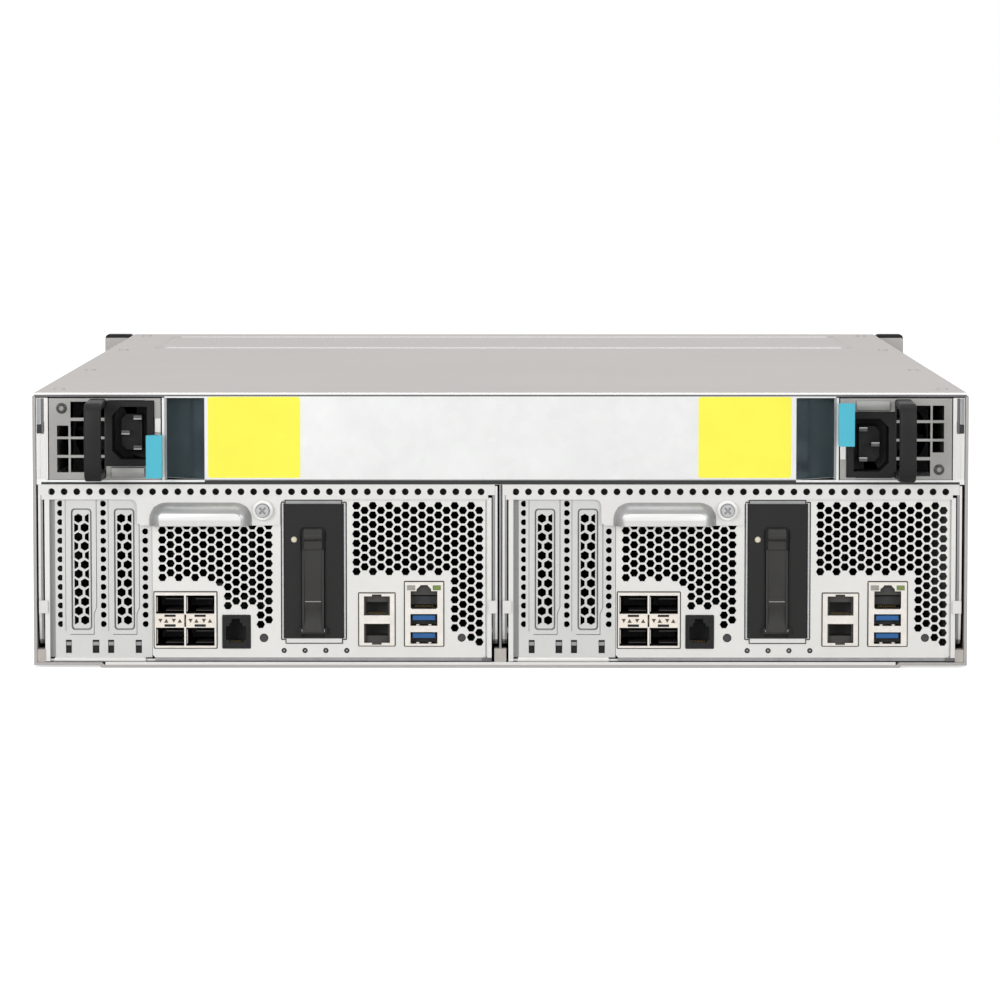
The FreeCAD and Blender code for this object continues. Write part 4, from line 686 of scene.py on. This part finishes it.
def build_transceiver_cage(shape):
    left, right, low, top = BLOCKS["cage"]
    bays = [(*xs, *zs) for xs in BAY_XS for zs in BAY_ZS]
    band = (-164.7, -136.7, 19.7, 25.6)
    holes = [rectangle(*bay) for bay in bays + [band]]
    shape.sheet(rounded(*BLOCKS["cage"], 0.6, 2), holes, 0.4, 1.1, TIN)
    inner = (left + 0.5, right - 0.5, low + 0.6, top - 0.6)
    walls(shape, BLOCKS["cage"], inner, 1.1, 48, TIN)
    for bay in bays:
        # thin walls and a back in darkened metal, painted shade so that the bay reads as deep
        left, right, low, top = bay
        for side in ((left - 0.4, left), (right, right + 0.4)):
            shape.box(*side, 1.1, 41, low - 0.4, top + 0.4, CAGE_INSIDE_SHADE)
        for side in ((low - 0.4, low), (top, top + 0.4)):
            shape.box(left, right, 1.1, 41, *side, CAGE_INSIDE_SHADE)
        shape.box(left, right, 40.6, 41, low, top, CAGE_INSIDE_SHADE)
        # socket and rails deep inside the bay
        middle = (low + top) / 2
        shape.box(left + 2.2, right - 2.2, 24, 40, middle - 2.6, middle + 1.4, SOCKET_BLACK_AND_SHADE)
        for z in (middle - 3.2, middle + 2.4):
            shape.box(left + 4.6, right - 0.4, 3, 20, z, z + 0.3, SOCKET_GREY)
        shape.box(left + 0.3, left + 0.6, 1.6, 6, low + 1, top - 1, TIN)
    # light guides with their pointers between the rows
    shape.box(-164.7, -136.7, 2.4, 3.4, 19.3, 26, SOCKET_BLACK_AND_SHADE)
    for first, second in BAY_XS:
        third, fourth = first + 4, first + 9.4
        shape.box(first, third, 0.7, 2.4, 19.5, 25.8, PIPE)
        shape.box(third, fourth, 0.7, 2.4, 20.9, 24.4, PIPE)
        shape.box(fourth, second, 0.7, 2.4, 19.5, 25.8, PIPE)
        for index, x in enumerate((first + 2.1, first + 4.9, first + 8.5, first + 11.4)):
            z, half, rise = 22.6, 1.05, 0.95 if index % 2 else -0.95
            corners = [(x - half, z - rise), (x + half, z - rise), (x, z + rise)]
            shape.prism(corners, 0.6, 0.75, MARK)
    shape.box(-151.1, -150.5, 0.6, 1.2, 21.4, 23.6, MARK)


on_controllers("module_cage", "", build_transceiver_cage, "cage_metal", "transceiver_cage")


def contacts(shape, left, right, start, low, top, count):
    """A row of narrow spring contacts, their gold darkened as painted shade."""
    step = (right - left) / count
    for i in range(count):
        x = left + step * (i + 0.5)
        shape.box(x - 0.225, x + 0.225, start, start + 5, low, top, SHADED_COPPER)


def build_jacks(shape):
    """Fronts, cavities and contacts of the fixed sockets."""
    out = 0.4
    # service jack
    left, right, low, top = BLOCKS["service"]
    keyed = [
        (-129.6, 12.2), (-122.9, 12.2), (-122.9, 13.4), (-121.6, 13.4), (-121.6, 20),
        (-123.4, 20), (-123.4, 21.6), (-124.6, 21.6), (-124.6, 23.6), (-128.6, 23.6),
        (-128.6, 21.6), (-129.6, 21.6), (-129.6, 20), (-131.2, 20), (-131.2, 13.4),
        (-129.6, 13.4),
    ]
    shape.sheet(rounded(left, right, low, top, 0.4, 2), [keyed], out, 3, BLACK)
    inner = (left + 1, right - 1, 12.2, top - 1.2)
    walls(shape, BLOCKS["service"], inner, 3, 18, BLACK)
    shape.box(*inner[:2], 14, 18, *inner[2:], SOCKET_BLACK_AND_SHADE)
    contacts(shape, -129.4, -123.4, 2.2, 12.3, 12.9, 6)
    # network jacks, one above the other
    left, right = BLOCKS["pair"][:2]
    upper = [
        (-65.2, 25.2), (-52.8, 25.2), (-52.8, 34.4), (-56.8, 34.4), (-56.8, 35.3),
        (-61.4, 35.3), (-61.4, 34.4), (-65.2, 34.4),
    ]
    lower = [(x, 46.4 - z) for x, z in upper]
    shape.sheet(rounded(*BLOCKS["pair"], 0.3, 2), [upper, lower], out, 1.1, TIN)
    inner = (left + 2, right - 2, 11, 35.4)
    walls(shape, BLOCKS["pair"], inner, 1.1, 24, TIN)
    shape.box(-65.5, -52.6, 1.1, 24, 21.8, 25, TIN)
    shape.box(*inner[:2], 13, 24, *inner[2:], SOCKET_BLACK_AND_SHADE)
    for spring_low, spring_top in ((31.4, 35.3), (11, 15.2)):
        shape.box(-65.4, -52.6, 3.4, 12, spring_low, spring_top, SOCKET_GREY)
    for z in (25.6, 20.4):
        contacts(shape, -63.4, -54.6, 5, z, z + 0.8, 8)
    for x in (-65.2, -53.7):
        shape.box(x, x + 0.9, 2, 5, 25.6, 34, SOCKET_GREY)
        shape.box(x, x + 0.9, 2, 5, 12.8, 21.2, SOCKET_GREY)
    # network jack over two bus sockets
    left, right, low, top = BLOCKS["mixed"]
    single = [
        (-42.3, 28.3), (-30.7, 28.3), (-30.1, 28.9), (-30.1, 36.9), (-33, 36.9),
        (-33.1, 37.9), (-34.6, 39.4), (-34.6, 39.8), (-38.3, 39.8), (-38.3, 39.4),
        (-40, 37.9), (-40.1, 36.9), (-42.9, 36.9), (-42.9, 28.9),
    ]
    openings = [rectangle(-43, -30.1, 20.2, 25.9), rectangle(-43, -30.1, 11.6, 17.2)]
    for x, material in ((-44.6, GREY), (-32.3, GREEN)):
        openings.append(rectangle(x, x + 3.9, 37.3, 39.7))
        shape.box(x + 0.1, x + 3.8, 0.5, 2.4, 37.4, 39.6, material)
    shape.sheet(rounded(left, right, low, top, 0.3, 2), [single] + openings, out, 1.1, TIN)
    for box in (
        (left, right, 1.1, 24, 40.2, top), (left, right, 1.1, 24, low, 11.3),
        (left, left + 2.2, 2.4, 24, 11.3, 40.2), (right - 2.2, right, 2.4, 24, 11.3, 40.2),
        (-43.4, -29.8, 2.4, 13, 26.2, 28), (-43.4, -29.8, 2.4, 13, 17.5, 19.9),
    ):
        shape.box(*box, TIN)
    shape.box(-43.4, -29.8, 13, 24, 11.3, 40.2, SOCKET_BLACK_AND_SHADE)
    shape.box(-42.8, -30.2, 3.2, 12, 34.8, 39.2, SOCKET_GREY)
    shape.box(-42.8, -30.2, 6, 12, 30, 34, SOCKET_BLACK_AND_SHADE)
    contacts(shape, -41, -32, 5, 28.8, 29.6, 8)
    for z in (11.6, 20.2):
        shape.box(-41.9, -31.2, 1.3, 13, z + 2.7, z + 4.9, BLUE)
        shape.box(-42.9, -30.2, 6, 13, z + 0.4, z + 5.4, SOCKET_BLACK_AND_SHADE)
        for x in (-40.2, -34.4):
            shape.box(x, x + 1.4, 1.3, 4, z + 0.1, z + 0.6, TIN)


on_controllers("sockets", "", build_jacks, "jack_metal", "jack_blocks")


def build_lamps(shape):
    for x in LAMP_XS:
        shape.frustum(x, LAMP_Z, 0.8, 1.25, 1.9, 2.6, LENS, 20)
        # grey dot in the lens's middle, a painted highlight
        shape.frustum(x, LAMP_Z, 0.35, 0.45, 1.8, 1.9, GREY, 16)
        shape.rod(x, LAMP_Z, 1.25, 2.6, 9, LENS)
    shape.frustum(*BUTTON, 1.5, 1.95, 1.4, 1.9, LENS)
    shape.rod(*BUTTON, 1.95, 1.9, 9, LENS)


on_controllers("lamps", "", build_lamps, "button_grey")


# Controller: battery.

BATTERY_LAMP = (-98.6, 61.5)


def build_battery(shape):
    # bright rim round the front, with a dark joint and bent lips above and below
    left, right, low, top = BLOCKS["battery"]
    rim = rectangle(left + 0.8, right - 0.8, low + 0.3, top - 0.3)
    front = (left + 1.1, right - 1.1, low + 0.5, top - 0.5)
    shape.sheet(rectangle(left, right, low, top), [rim], 1.2, 12, STEEL)
    shape.sheet(rim, [rectangle(*front)], 2.4, 12, SOCKET_BLACK_AND_SHADE)
    upper_lip, lower_lip = (-102.5, -76.1, 78.8, 80.2), (-102.3, -75.8, 12, 14)
    for lip, material in ((upper_lip, SHADED_STEEL), (lower_lip, CLIP_GREY)):
        shape.prism(rectangle(*lip), 1, 1.19, material)
        shape.prism(rectangle(*grown(lip, 0.5)), 1.19, 1.24, SOCKET_BLACK_AND_SHADE)
    # black front with the lever's trough, wider round its hook
    trough = [
        (-83.9, 14.9), (-83.9, 55.4), (-83.3, 56.4), (-83.3, 65.9), (-84.6, 67.4),
        (-94.4, 67.4), (-95.7, 65.9), (-95.7, 56.4), (-95.1, 55.4), (-95.1, 14.9),
    ]
    left, right, low, top = front
    holes = [trough, circle(*BATTERY_LAMP, 1.5)]
    shape.sheet(rectangle(*front), holes, 1.7, 3, BATTERY_BLACK)
    shape.box(left, right, 5, 12, low, top, BATTERY_BLACK)
    shape.box(left, right, 12, 150, low + 0.3, top - 0.3, STEEL)
    shape.sheet(trough, [], 3.4, 5, SOCKET_BLACK_AND_SHADE)
    shape.frustum(*BATTERY_LAMP, 1, 1.45, 1.3, 1.8, CREAM, 24)
    shape.rod(*BATTERY_LAMP, 1.45, 1.8, 4.6, CREAM)
    # ears and pin of the lever
    for x in (-96.2, -84):
        shape.box(x, x + 1.2, -0.7, 3.6, 16.2, 19.4, BATTERY_BLACK)
    shape.rod(0.9, 17.8, 0.8, -95.4, -83.6, STEEL, "x", 16)


on_controllers("battery", "battery", build_battery, "battery_black", "battery_module")


def build_battery_lever(shape):
    """A moulded lever: barrel on the pin, dished stem and a hooked finger end."""
    left, right = -94.7, -84.3
    profile = [
        (0, 16.4), (-0.6, 17.4), (-0.5, 19.4), (0.3, 22), (0.7, 25), (0.5, 28.4),
        (-0.2, 31.2), (-0.2, 32.6), (0.3, 33.4), (0.3, 56.4), (-0.2, 57), (-0.2, 60.8),
        (-1.9, 62), (-2.1, 63.2), (-1.9, 64.4), (-0.9, 65.6), (0.1, 66.6), (1.5, 66.6),
        (1.5, 57), (1.6, 33.6), (1.4, 31), (1.9, 27), (1.9, 22), (2.3, 18.6),
        (1.8, 16.6), (0.9, 16.2),
    ]
    cheek = [(-0.6, 16.4), (-0.8, 30), (-0.5, 33), (0, 56.6), (1.5, 56.6), (1.6, 16.4)]
    shape.prism(profile, left + 0.9, right - 0.9, PULL_BLACK, "x")
    for x in (left, right - 0.9):
        shape.prism(cheek, x, x + 0.9, PULL_BLACK, "x")
    # thin grey bar across the stem, a painted highlight
    shape.box(left + 1.4, right - 1.4, -0.25, -0.1, 31.7, 32.1, GREY)


on_controllers(
    "battery_pull", "battery_pull", build_battery_lever, "battery_black", "battery_lever", bevel=0.25,
)


# Power supplies.

SUPPLY = (-215.2, -161.9, 90.4, 129.2)
SUPPLY_DEPTH = 321
LATCH_PIN = (-164.6, 44)


def build_supply(shape):
    left, right, low, top = SUPPLY
    rows = ((119.9, 127.6), (110.9, 118.4), (102.1, 109.7), (93.8, 100.8))
    holes = []
    for number, (cell_low, cell_top) in enumerate(rows):
        if number:
            holes.append(rectangle(-211.4, -205.9, cell_low, min(cell_top, 116.2)))
        holes.append(rectangle(-204.9, -188.6, cell_low, cell_top))
    holes.append(rectangle(-188.1, -164.9, 96.8, 128.2))
    shape.sheet(rectangle(left, right, low, top), holes, 0, 1, SUPPLY_ZINC)
    # black strip beside the handle, painted shade
    shape.box(-188.7, -187.9, -0.08, -0.02, 93.8, 128.2, SOCKET_BLACK_AND_SHADE)
    skin, end = 1, SUPPLY_DEPTH
    shape.box(left, right, 1, end, low, low + skin, ZINC)
    shape.box(left, right, 1, end, top - skin, top, ZINC)
    shape.box(left, left + skin, 1, end, low + skin, top - skin, ZINC)
    wall = rectangle(1, end, low + skin, top - skin)
    window = rectangle(2, 47, 91.6, 113)
    shape.sheet(wall, [window], right - skin, right, ZINC, "x")
    shape.rod(*LATCH_PIN, 1.2, low + skin, top - skin, STEEL, "z", 16)
    # fan frame, contact card and its carrier
    frame_outline = rectangle(-206.9, -170.1, 91.4, 128.2)
    quarters = [rectangle(*xs, *zs) for xs in ((-201.5, -190.5), (-186.5, -175.5))
                for zs in ((97.8, 106.8), (112.8, 121.8))]
    shape.sheet(frame_outline, [circle(-188.5, 109.8, 17.6, 40)], 36, 62, BLACK)
    shape.sheet(frame_outline, quarters, 62, 64, BLACK)
    shape.box(left + 8, right - 8, 261, end + 6, 105, 106.6, BOARD_IN_SHADE)
    shape.box(left + 8, right - 8, 261, end - 4, 91, 105, SOCKET_BLACK_AND_SHADE)


on_supplies("can", "", build_supply, "galvanised", "case")


def chamfered(left, right, low, top, corner):
    """A rectangle with two corners cut off at its left."""
    return [
        (left + corner, low), (right, low), (right, top), (left + corner, top),
        (left, top - corner), (left, low + corner),
    ]


def build_inlet(shape):
    """The mains inlet: flange, keyed cavity and three blades in dark steel as painted shade, each with a
    bright lower strip.
    """
    keyed = chamfered(-185, -168.3, 100, 125.2, 4.2)
    wider = chamfered(-186.2, -167.1, 98.8, 126.4, 4.2)
    shape.sheet(rounded(-187.8, -165.2, 97.1, 127.9, 0.8, 3), [keyed], -1.5, 2, BLACK)
    back = 15.5
    shape.sheet(wider, [keyed], 2, back, BLACK)
    shape.prism(wider, back, 23, SOCKET_BLACK_AND_SHADE)
    shape.prism(chamfered(-181.4, -171.4, 104, 121.2, 2.4), 9.5, back, SOCKET_BLACK_AND_SHADE)
    # each blade is dark steel as painted shade, over a bright steel strip at its lower edge
    for x, z in ((-179, 112.6), (-173.2, 119.8), (-173.2, 105.4)):
        shape.box(x - 2, x + 2, 4, back, z - 0.5, z + 1, DARK_STEEL)
        shape.box(x - 2, x + 2, 4, back, z - 1, z - 0.5, STEEL)


on_supplies("mains_inlet", "", build_inlet, "black_plastic", "inlet", bevel=0.3)


def build_supply_handle(shape):
    """A bowed handle with rounded arms."""
    low, top, reach, bar, shoulder = 90.8, 129, 30, 4, 7
    path = [
        Vector((0, low + 2)), Vector((shoulder - reach, low + 2.4)),
        Vector((3.2 - reach, low + 2.6)), Vector((2 - reach, low + shoulder + 2.4)),
    ]
    path += [Vector((point.x, low + top - point.y)) for point in path[::-1]]
    line = []
    for before, after in zip(path, path[1:]):
        line += [before.lerp(after, step / 4) for step in range(4)]
    line.append(path[-1])
    for _ in range(3):
        softer = [(a + 2 * b + c) / 4 for a, b, c in zip(line, line[1:], line[2:])]
        line = [line[0]] + softer + [line[-1]]
    rings = []
    section = rounded(-196, -188, -bar / 2, bar / 2, 1, 3)
    for i, point in enumerate(line):
        along = (line[min(i + 1, len(line) - 1)] - line[max(i - 1, 0)]).normalized()
        normal = Vector((along.y, -along.x))
        if i in (0, len(line) - 1):
            normal = Vector((0, -1 if i == 0 else 1))
        rings.append([(x, *(point + normal * v)) for x, v in section])
    shape.loft(rings, BLACK)


on_supplies("pull_handle", "", build_supply_handle, "black_plastic", "handle")


def build_supply_latch(shape):
    """The sprung release: teal finger pad on a steel leaf."""
    low, top = 92, 112.4
    pad = [
        (-167.9, -15), (-160.3, -15), (-160.3, -11), (-162.2, -8), (-163.4, -8),
        (-167.9, -12.6),
    ]
    shape.prism(pad, low, top, TEAL, "z")
    shape.box(-163.4, -162.2, -13, 44, low + 0.6, top, STEEL)
    shape.rod(*LATCH_PIN, 2.2, low + 0.6, top, STEEL, "z")
    shape.prism([(-162.2, 14), (-161.8, 22), (-162.2, 22)], low + 8, top - 6, STEEL, "z")


on_supplies("release", "release", build_supply_latch, "latch_teal", "latch", bevel=0.35)


def build_supply_trim(shape):
    """Status lamp in its grommet, and the brackets above and below the inlet."""
    shape.frustum(-209.1, 124.4, 2.2, 2.7, -0.8, 0, LENS)
    # grey dot in the lamp's middle, a painted highlight
    shape.frustum(-209.1, 124.4, 0.9, 1.3, -1.1, -0.8, GREY, 20)
    bracket = [(-0.2, 96.6), (-1, 96), (-1.4, 94.6), (-1.4, 92.6), (-1, 91.6), (-0.2, 91.4)]
    shape.prism(bracket, -185.6, -169.6, SUPPLY_ZINC, "x")
    shape.box(-164.7, -161.9, -0.5, 0, 112.9, 119.6, PANEL)
    shape.box(-186.4, -169.6, -0.6, 0, 128.2, 129.1, SHADED_STEEL)


on_supplies("trim", "", build_supply_trim, "galvanised", bevel=0.3)


# Chassis.


def build_patches(shape):
    """Bare coloured patches on the cover between the power bays."""
    for left, right in ((-139.4, -95.4), (94.4, 138.6)):
        shape.prism(rounded(left, right, 91.2, 129.9, 1.3), -0.12, 0, YELLOW)


on_root("cover_patches", build_patches, "galvanised")


def build_shoulders(shape):
    """Dark sloping cheeks at both ends of that cover."""
    for sign in (-1, 1):
        outline = [(141.2, -0.15), (159.9, 12.7), (159.9, 12.9), (141.2, 0.05)]
        shape.prism([(sign * x, d) for x, d in outline], 90.6, 129.3, SLATE, "z")


on_root("cover_cheeks", build_shoulders, "galvanised")


def build_cover(shape):
    """The top cover: rolled rear edge over a narrow gap in painted shadow, and a low bead over the drives.
    """
    low, top, half, roll = 130.9, 131.3, 223.1, 1.9
    end = measured("top_cover")[1][1]
    edge = [(0, low), (0.1, low + 0.5), (0.5, low + 0.9), (1.1, low + 1), (roll + 1.6, top)]
    shape.prism(edge + [(end, top), (end, low)], -half, half, CASE_PAINT, "x")
    bright = shape.number(COVER_EDGE_HIGHLIGHT)
    # dark strip under the rolled edge: painted shadow
    shape.box(-221.6, 221.6, 0.3, 1.2, 129.9, low, DARK_STEEL)
    shape.box(-160, 160, -0.02, 0.3, 129.4, 130.1, ZINC)
    near, far, reach = end - 174, end - 41, 199
    rings = []
    for inset, rise in ((0, 0), (0.5, 0.45), (1.3, 0.66), (2.1, 0.45), (2.7, 0.02)):
        outline = rounded(inset - reach, reach - inset, near + inset, far - inset, 7 - inset, 5)
        rings.append([(x, d, top + rise) for x, d in outline])
    shape.loft(rings, CASE_PAINT, ends=False)
    shape.add(rings[-1], [list(range(len(rings[-1])))], CASE_PAINT)
    # the rolled edge and the bead's long sides are painted highlights, in a lighter, glossier copy of the
    # paint
    for face in shape.mesh.faces:
        middle = face.calc_center_median()
        rolled = middle.y < roll and middle.z > low + 0.1
        if rolled or (middle.z > top + 0.05 and abs(middle.x) < 1):
            face.material_index = bright


on_root("cover_shell", build_cover, "case_paint", "top_cover")


def build_screws(shape):
    """Flat cross-headed screws, at the places of the solids."""
    start, end = measured("chassis_screws")[1]
    near, far = start + 2.9, end - 2.9
    for depth in (near, near + 170, far - 170, far):
        for x in (-214, 214):
            shape.rod(x, depth, 2.9, 131.25, 131.6, CASE_PAINT, "z")
            head = circle(x, depth, 2.7, 24)
            shape.sheet(head, [cross(x, depth, 1.7, 0.35)], 131.6, 131.85, CASE_PAINT, "z")


on_root("cover_screws", build_screws, "screw_steel", "chassis_screws")


def build_ear(shape, node, side):
    """A rack ear: folded plate with two slots and a moulded cap in front of it."""
    front = measured(node)[1][1]
    face = front - 12
    inner, tip, low, top = 223.1, 241.3, 1.6, 131
    slot = mirrored(side, 232.55 - 5, 232.55 + 5)
    slots = [rounded(*slot, z - 3.4, z + 3.4, 3.3, 8) for z in (37.725, 94.875)]
    plate = rounded(*mirrored(side, inner, tip), low, top - 2, 1.2, 3)
    shape.sheet(plate, slots, face - 2, face, EAR_PAINT)
    flange = mirrored(side, inner, inner + 1.5)
    shape.box(*flange, face - 42, face - 2, low + 6, top - 12, EAR_PAINT)
    for z in (30, 66, 102):
        head = mirrored(side, inner + 1.5, inner + 2.1)
        shape.rod(face - 24, z, 2.6, *head, STEEL, "x")
    cap_in = tip - 16.4
    middle = side * (cap_in + tip) / 2
    lamp_zs = (116, 108, 100)
    holes = [rounded(*mirrored(side, cap_in + 1.6, tip - 1.6), low + 12, top - 34, 1.6, 3)]
    if side < 0:
        holes.append(circle(middle, 108, 4.3, 32))
    else:
        holes += [circle(middle, z, 1.3, 20) for z in lamp_zs]
        for z in lamp_zs:
            shape.frustum(middle, z, 1.2, 0.9, face + 1, front - 0.6, CREAM, 20)
    cap = rounded(*mirrored(side, cap_in, tip), low, top, 2, 4)
    shape.sheet(cap, holes, face, front - 1, BLACK)
    rim = rounded(*mirrored(side, cap_in + 0.8, tip - 0.8), low + 0.8, top - 0.8, 1.6, 4)
    shape.sheet(rim, holes, front - 1, front, BLACK)


for sign, side in zip((-1, 1), SIDES):
    node = "rack_ear_" + side
    on_root("ear_" + side, lambda shape: build_ear(shape, node, sign), "case_paint", node)


def build_power_button(shape):
    (left, right), (start, end), (low, top) = measured("power_button")
    x, z, radius = (left + right) / 2, (low + top) / 2, (right - left) / 2
    shape.rod(x, z, radius, start, end - 0.8, LENS, steps=32)
    shape.frustum(x, z, radius, radius - 0.8, end - 0.8, end, LENS)


key = mesh_of("power_key", build_power_button)
place("power_key", key, "power_button", "button_grey", "power_button")


def build_tray(shape):
    """A drive tray about its own left lower corner: vented bezel, lever, lamps and disk."""
    (left, right), (start, end), (low, top) = measured("drive_tray_1_1")
    half, height = (right - left) / 2, top - low
    face = end - 5
    back = face - 24
    # carrier rails and disk
    for side in (-1, 1):
        rail = mirrored(side, half - 2.9, half)
        shape.box(*rail, start + 4, back, 0, 20, TRAY_STEEL)
    shape.box(-50.8, 50.8, back - 6, back, 0, 20, TRAY_STEEL)
    shape.box(-50.8, 50.8, start, start + 147, 0.8, 26.9, TRAY_STEEL)
    shape.box(-48, 48, start + 6, start + 141, 26.9, 27.1, DISK_PLATE)
    shape.box(-44, 44, start, start + 0.6, 2, 7, BOARD_IN_SHADE)
    # bezel with a field of vents at the right end
    vents = []
    for column in range(5):
        odd = column % 2
        for row in range(6 - odd):
            z = 3.8 + 2.2 * odd + 4.4 * row
            vents.append(hexagon(half - 17.6 + 3.7 * column, z, 3.3))
    body = rounded(-half, half, 0, height, 1.4, 3)
    shape.sheet(body, vents, face - 3, face, BEZEL)
    duct = rectangle(half - 21, half - 1.2, 1.2, height - 1.2)
    shape.sheet(body, [duct], back, face - 3, BEZEL)
    # lever: bowed grip with a finger recess and a latch button
    left, middle = -half + 3, height / 2
    lever = [
        (left, face), (left + 1.6, face + 3.6), (left + 6, end), (left + 70, end),
        (left + 79, face + 4.2), (left + 84, face),
    ]
    shape.prism(lever, middle - 6, middle + 6, LEVER_BLACK, "z")
    button = rounded(left + 66, left + 76, middle - 3.6, middle + 3.6, 1.2)
    shape.prism(button, end - 0.6, end, TEAL)
    for z in (4.2, height - 4.2):
        shape.frustum(half - 24.6, z, 1.1, 0.8, face - 0.2, face + 0.5, CREAM, 20)


tray = mesh_of("tray", build_tray)
for row in range(1, 5):
    for column in range(1, 5):
        label = f"tray_{row}_{column}"
        node = "drive_" + label
        (left, right), _, (low, _) = measured(node)
        where = Matrix.Translation(((left + right) / 2 * MM, 0, low * MM))
        place(label, tray, node, "black_plastic", node, where=where)


def build_bay_edges(shape):
    """Folded edges of the power bays: strips at the outer walls, lips by the divider walls."""
    foot, step, head = 90.6, 112.2, 129.2
    # the outer strips' darker upper parts and the black patch in a notch are painted shade
    for inner, outer, start, low, top, material in (
        (215.7, 217.4, 0.05, foot, head, PANEL), (217.6, 219.2, 0.35, foot, step, PANEL),
        (217.6, 219.2, 0.35, step, head, DARK_STEEL), (219.5, 221, 0.05, foot, step, PANEL),
        (218.8, 221, 0.05, 112.4, 116.8, SOCKET_BLACK_AND_SHADE),
        (219.5, 221, 0.05, 117, head, SHADED_STEEL),
        (159, 160, -0.25, foot, head, SHADED_STEEL),
    ):
        for side in (-1, 1):
            shape.box(*mirrored(side, inner, outer), start, start + 0.3, low, top, material)


on_root("bay_edges", build_bay_edges, "galvanised")


def build_corner_blocks(shape):
    """Blocks at the foot of the walls, for the levers' heels, and the edges between them."""
    shape.box(-189, 189, 0.1, 1, 1.3, 2.85, PANEL)
    # dark strip under the shelf's bright lip: painted shadow
    for left, right, top in ((-141, 141, 90.1), (-219, -141, 89.2), (141, 219, 89.2)):
        shape.box(left, right, -0.1, 0, 88.1, top, SOCKET_BLACK_AND_SHADE)
    for left, right, top in ((-221.5, -217.4, 8.8), (217.4, 221.5, 8.8), (-2.8, 2.8, 9.3)):
        shape.prism(rounded(left, right, 2.8, top, 0.5, 3), 0.3, 1.9, BLOCK_GREY)


on_root("corner_blocks", build_corner_blocks, "galvanised")
dress(WALL_PAINT, "chassis_base")
dress(SHADED_STEEL, "bay_divider")
dress(ZINC, "bay_shelf", "rear_centre_cover", "drive_cage")
dress(BOARD_IN_SHADE, "midplane_board", "power_board")
for side in SIDES:
    dress(BOARD_IN_SHADE, f"controller_{side}_mainboard")
    dress(BLACK, f"controller_{side}_fan_pack", f"psu_{side}_fan")
    dress(LENS, f"controller_{side}_locate_button")


# Stage.

FLOOR_GLOW, WORLD_LEVEL = 0.66, 0.44


def calculate(nodes, operation, first, second):
    node = nodes.new("ShaderNodeMath")
    node.operation = operation
    return fill(node, first, second).outputs["Value"]


def build_floor():
    """A white floor that keeps the shadow."""
    bpy.ops.mesh.primitive_plane_add(size=60, location=(0, 0, 0))
    floor = bpy.context.object
    floor.name = "floor"
    material = bpy.data.materials.new("floor_white")
    material.use_nodes = True
    nodes = material.node_tree.nodes
    matt = nodes["Principled BSDF"]
    fill(matt, Base_Color=(0.9, 0.9, 0.9, 1), Roughness=0.9, Specular_IOR_Level=0)
    seen = nodes.new("ShaderNodeLightPath").outputs["Is Camera Ray"]
    level = calculate(nodes, "MULTIPLY", seen, FLOOR_GLOW)
    glow = fill(nodes.new("ShaderNodeEmission"), Strength=level)
    both = nodes.new("ShaderNodeAddShader")
    fill(both, matt.outputs["BSDF"], glow.outputs["Emission"])
    fill(nodes["Material Output"], Surface=both.outputs["Shader"])
    floor.data.materials.append(material)


def build_surround():
    """An even white surround, also in what gloss shows."""
    world = bpy.data.worlds.new("studio")
    bpy.context.scene.world = world
    world.use_nodes = True
    nodes = world.node_tree.nodes
    ray = nodes.new("ShaderNodeLightPath").outputs
    seen = calculate(nodes, "MAXIMUM", ray["Is Camera Ray"], ray["Is Glossy Ray"])
    seen = calculate(nodes, "MAXIMUM", seen, ray["Is Transmission Ray"])
    level = nodes.new("ShaderNodeMapRange")
    fill(level, Value=seen, To_Min=WORLD_LEVEL, To_Max=1)
    fill(nodes["Background"], Color=(1, 1, 1, 1), Strength=level.outputs["Result"])


def add_lamp(name, location, target, size, power):
    data = bpy.data.lights.new(name, "AREA")
    data.shape = "DISK"
    data.size = size
    data.energy = power
    lamp = linked(name, data)
    lamp.location = location
    direction = Vector(target) - Vector(location)
    lamp.rotation_euler = direction.to_track_quat("-Z", "Y").to_euler()


build_floor()
build_surround()
add_lamp("key", (-1.5, -2.8, 0.8), (0, -0.2, 0.06), 1.2, 34)
add_lamp("fill", (1.7, -2.6, 0.7), (0, -0.2, 0.06), 1.4, 24)
add_lamp("top", (0.2, -0.4, 2.6), (0, 0, 0.1), 1.6, 12)

lens = bpy.data.cameras.new("camera")
lens.lens = 171.93
lens.sensor_width = 36
camera = linked("camera", lens)
camera.location = (0.0084, -2.571, 0.2648)
camera.rotation_euler = (math.radians(90 - 4.636), 0, math.radians(0.216))
bpy.context.scene.camera = camera
bpy.context.scene.view_settings.view_transform = "Standard"
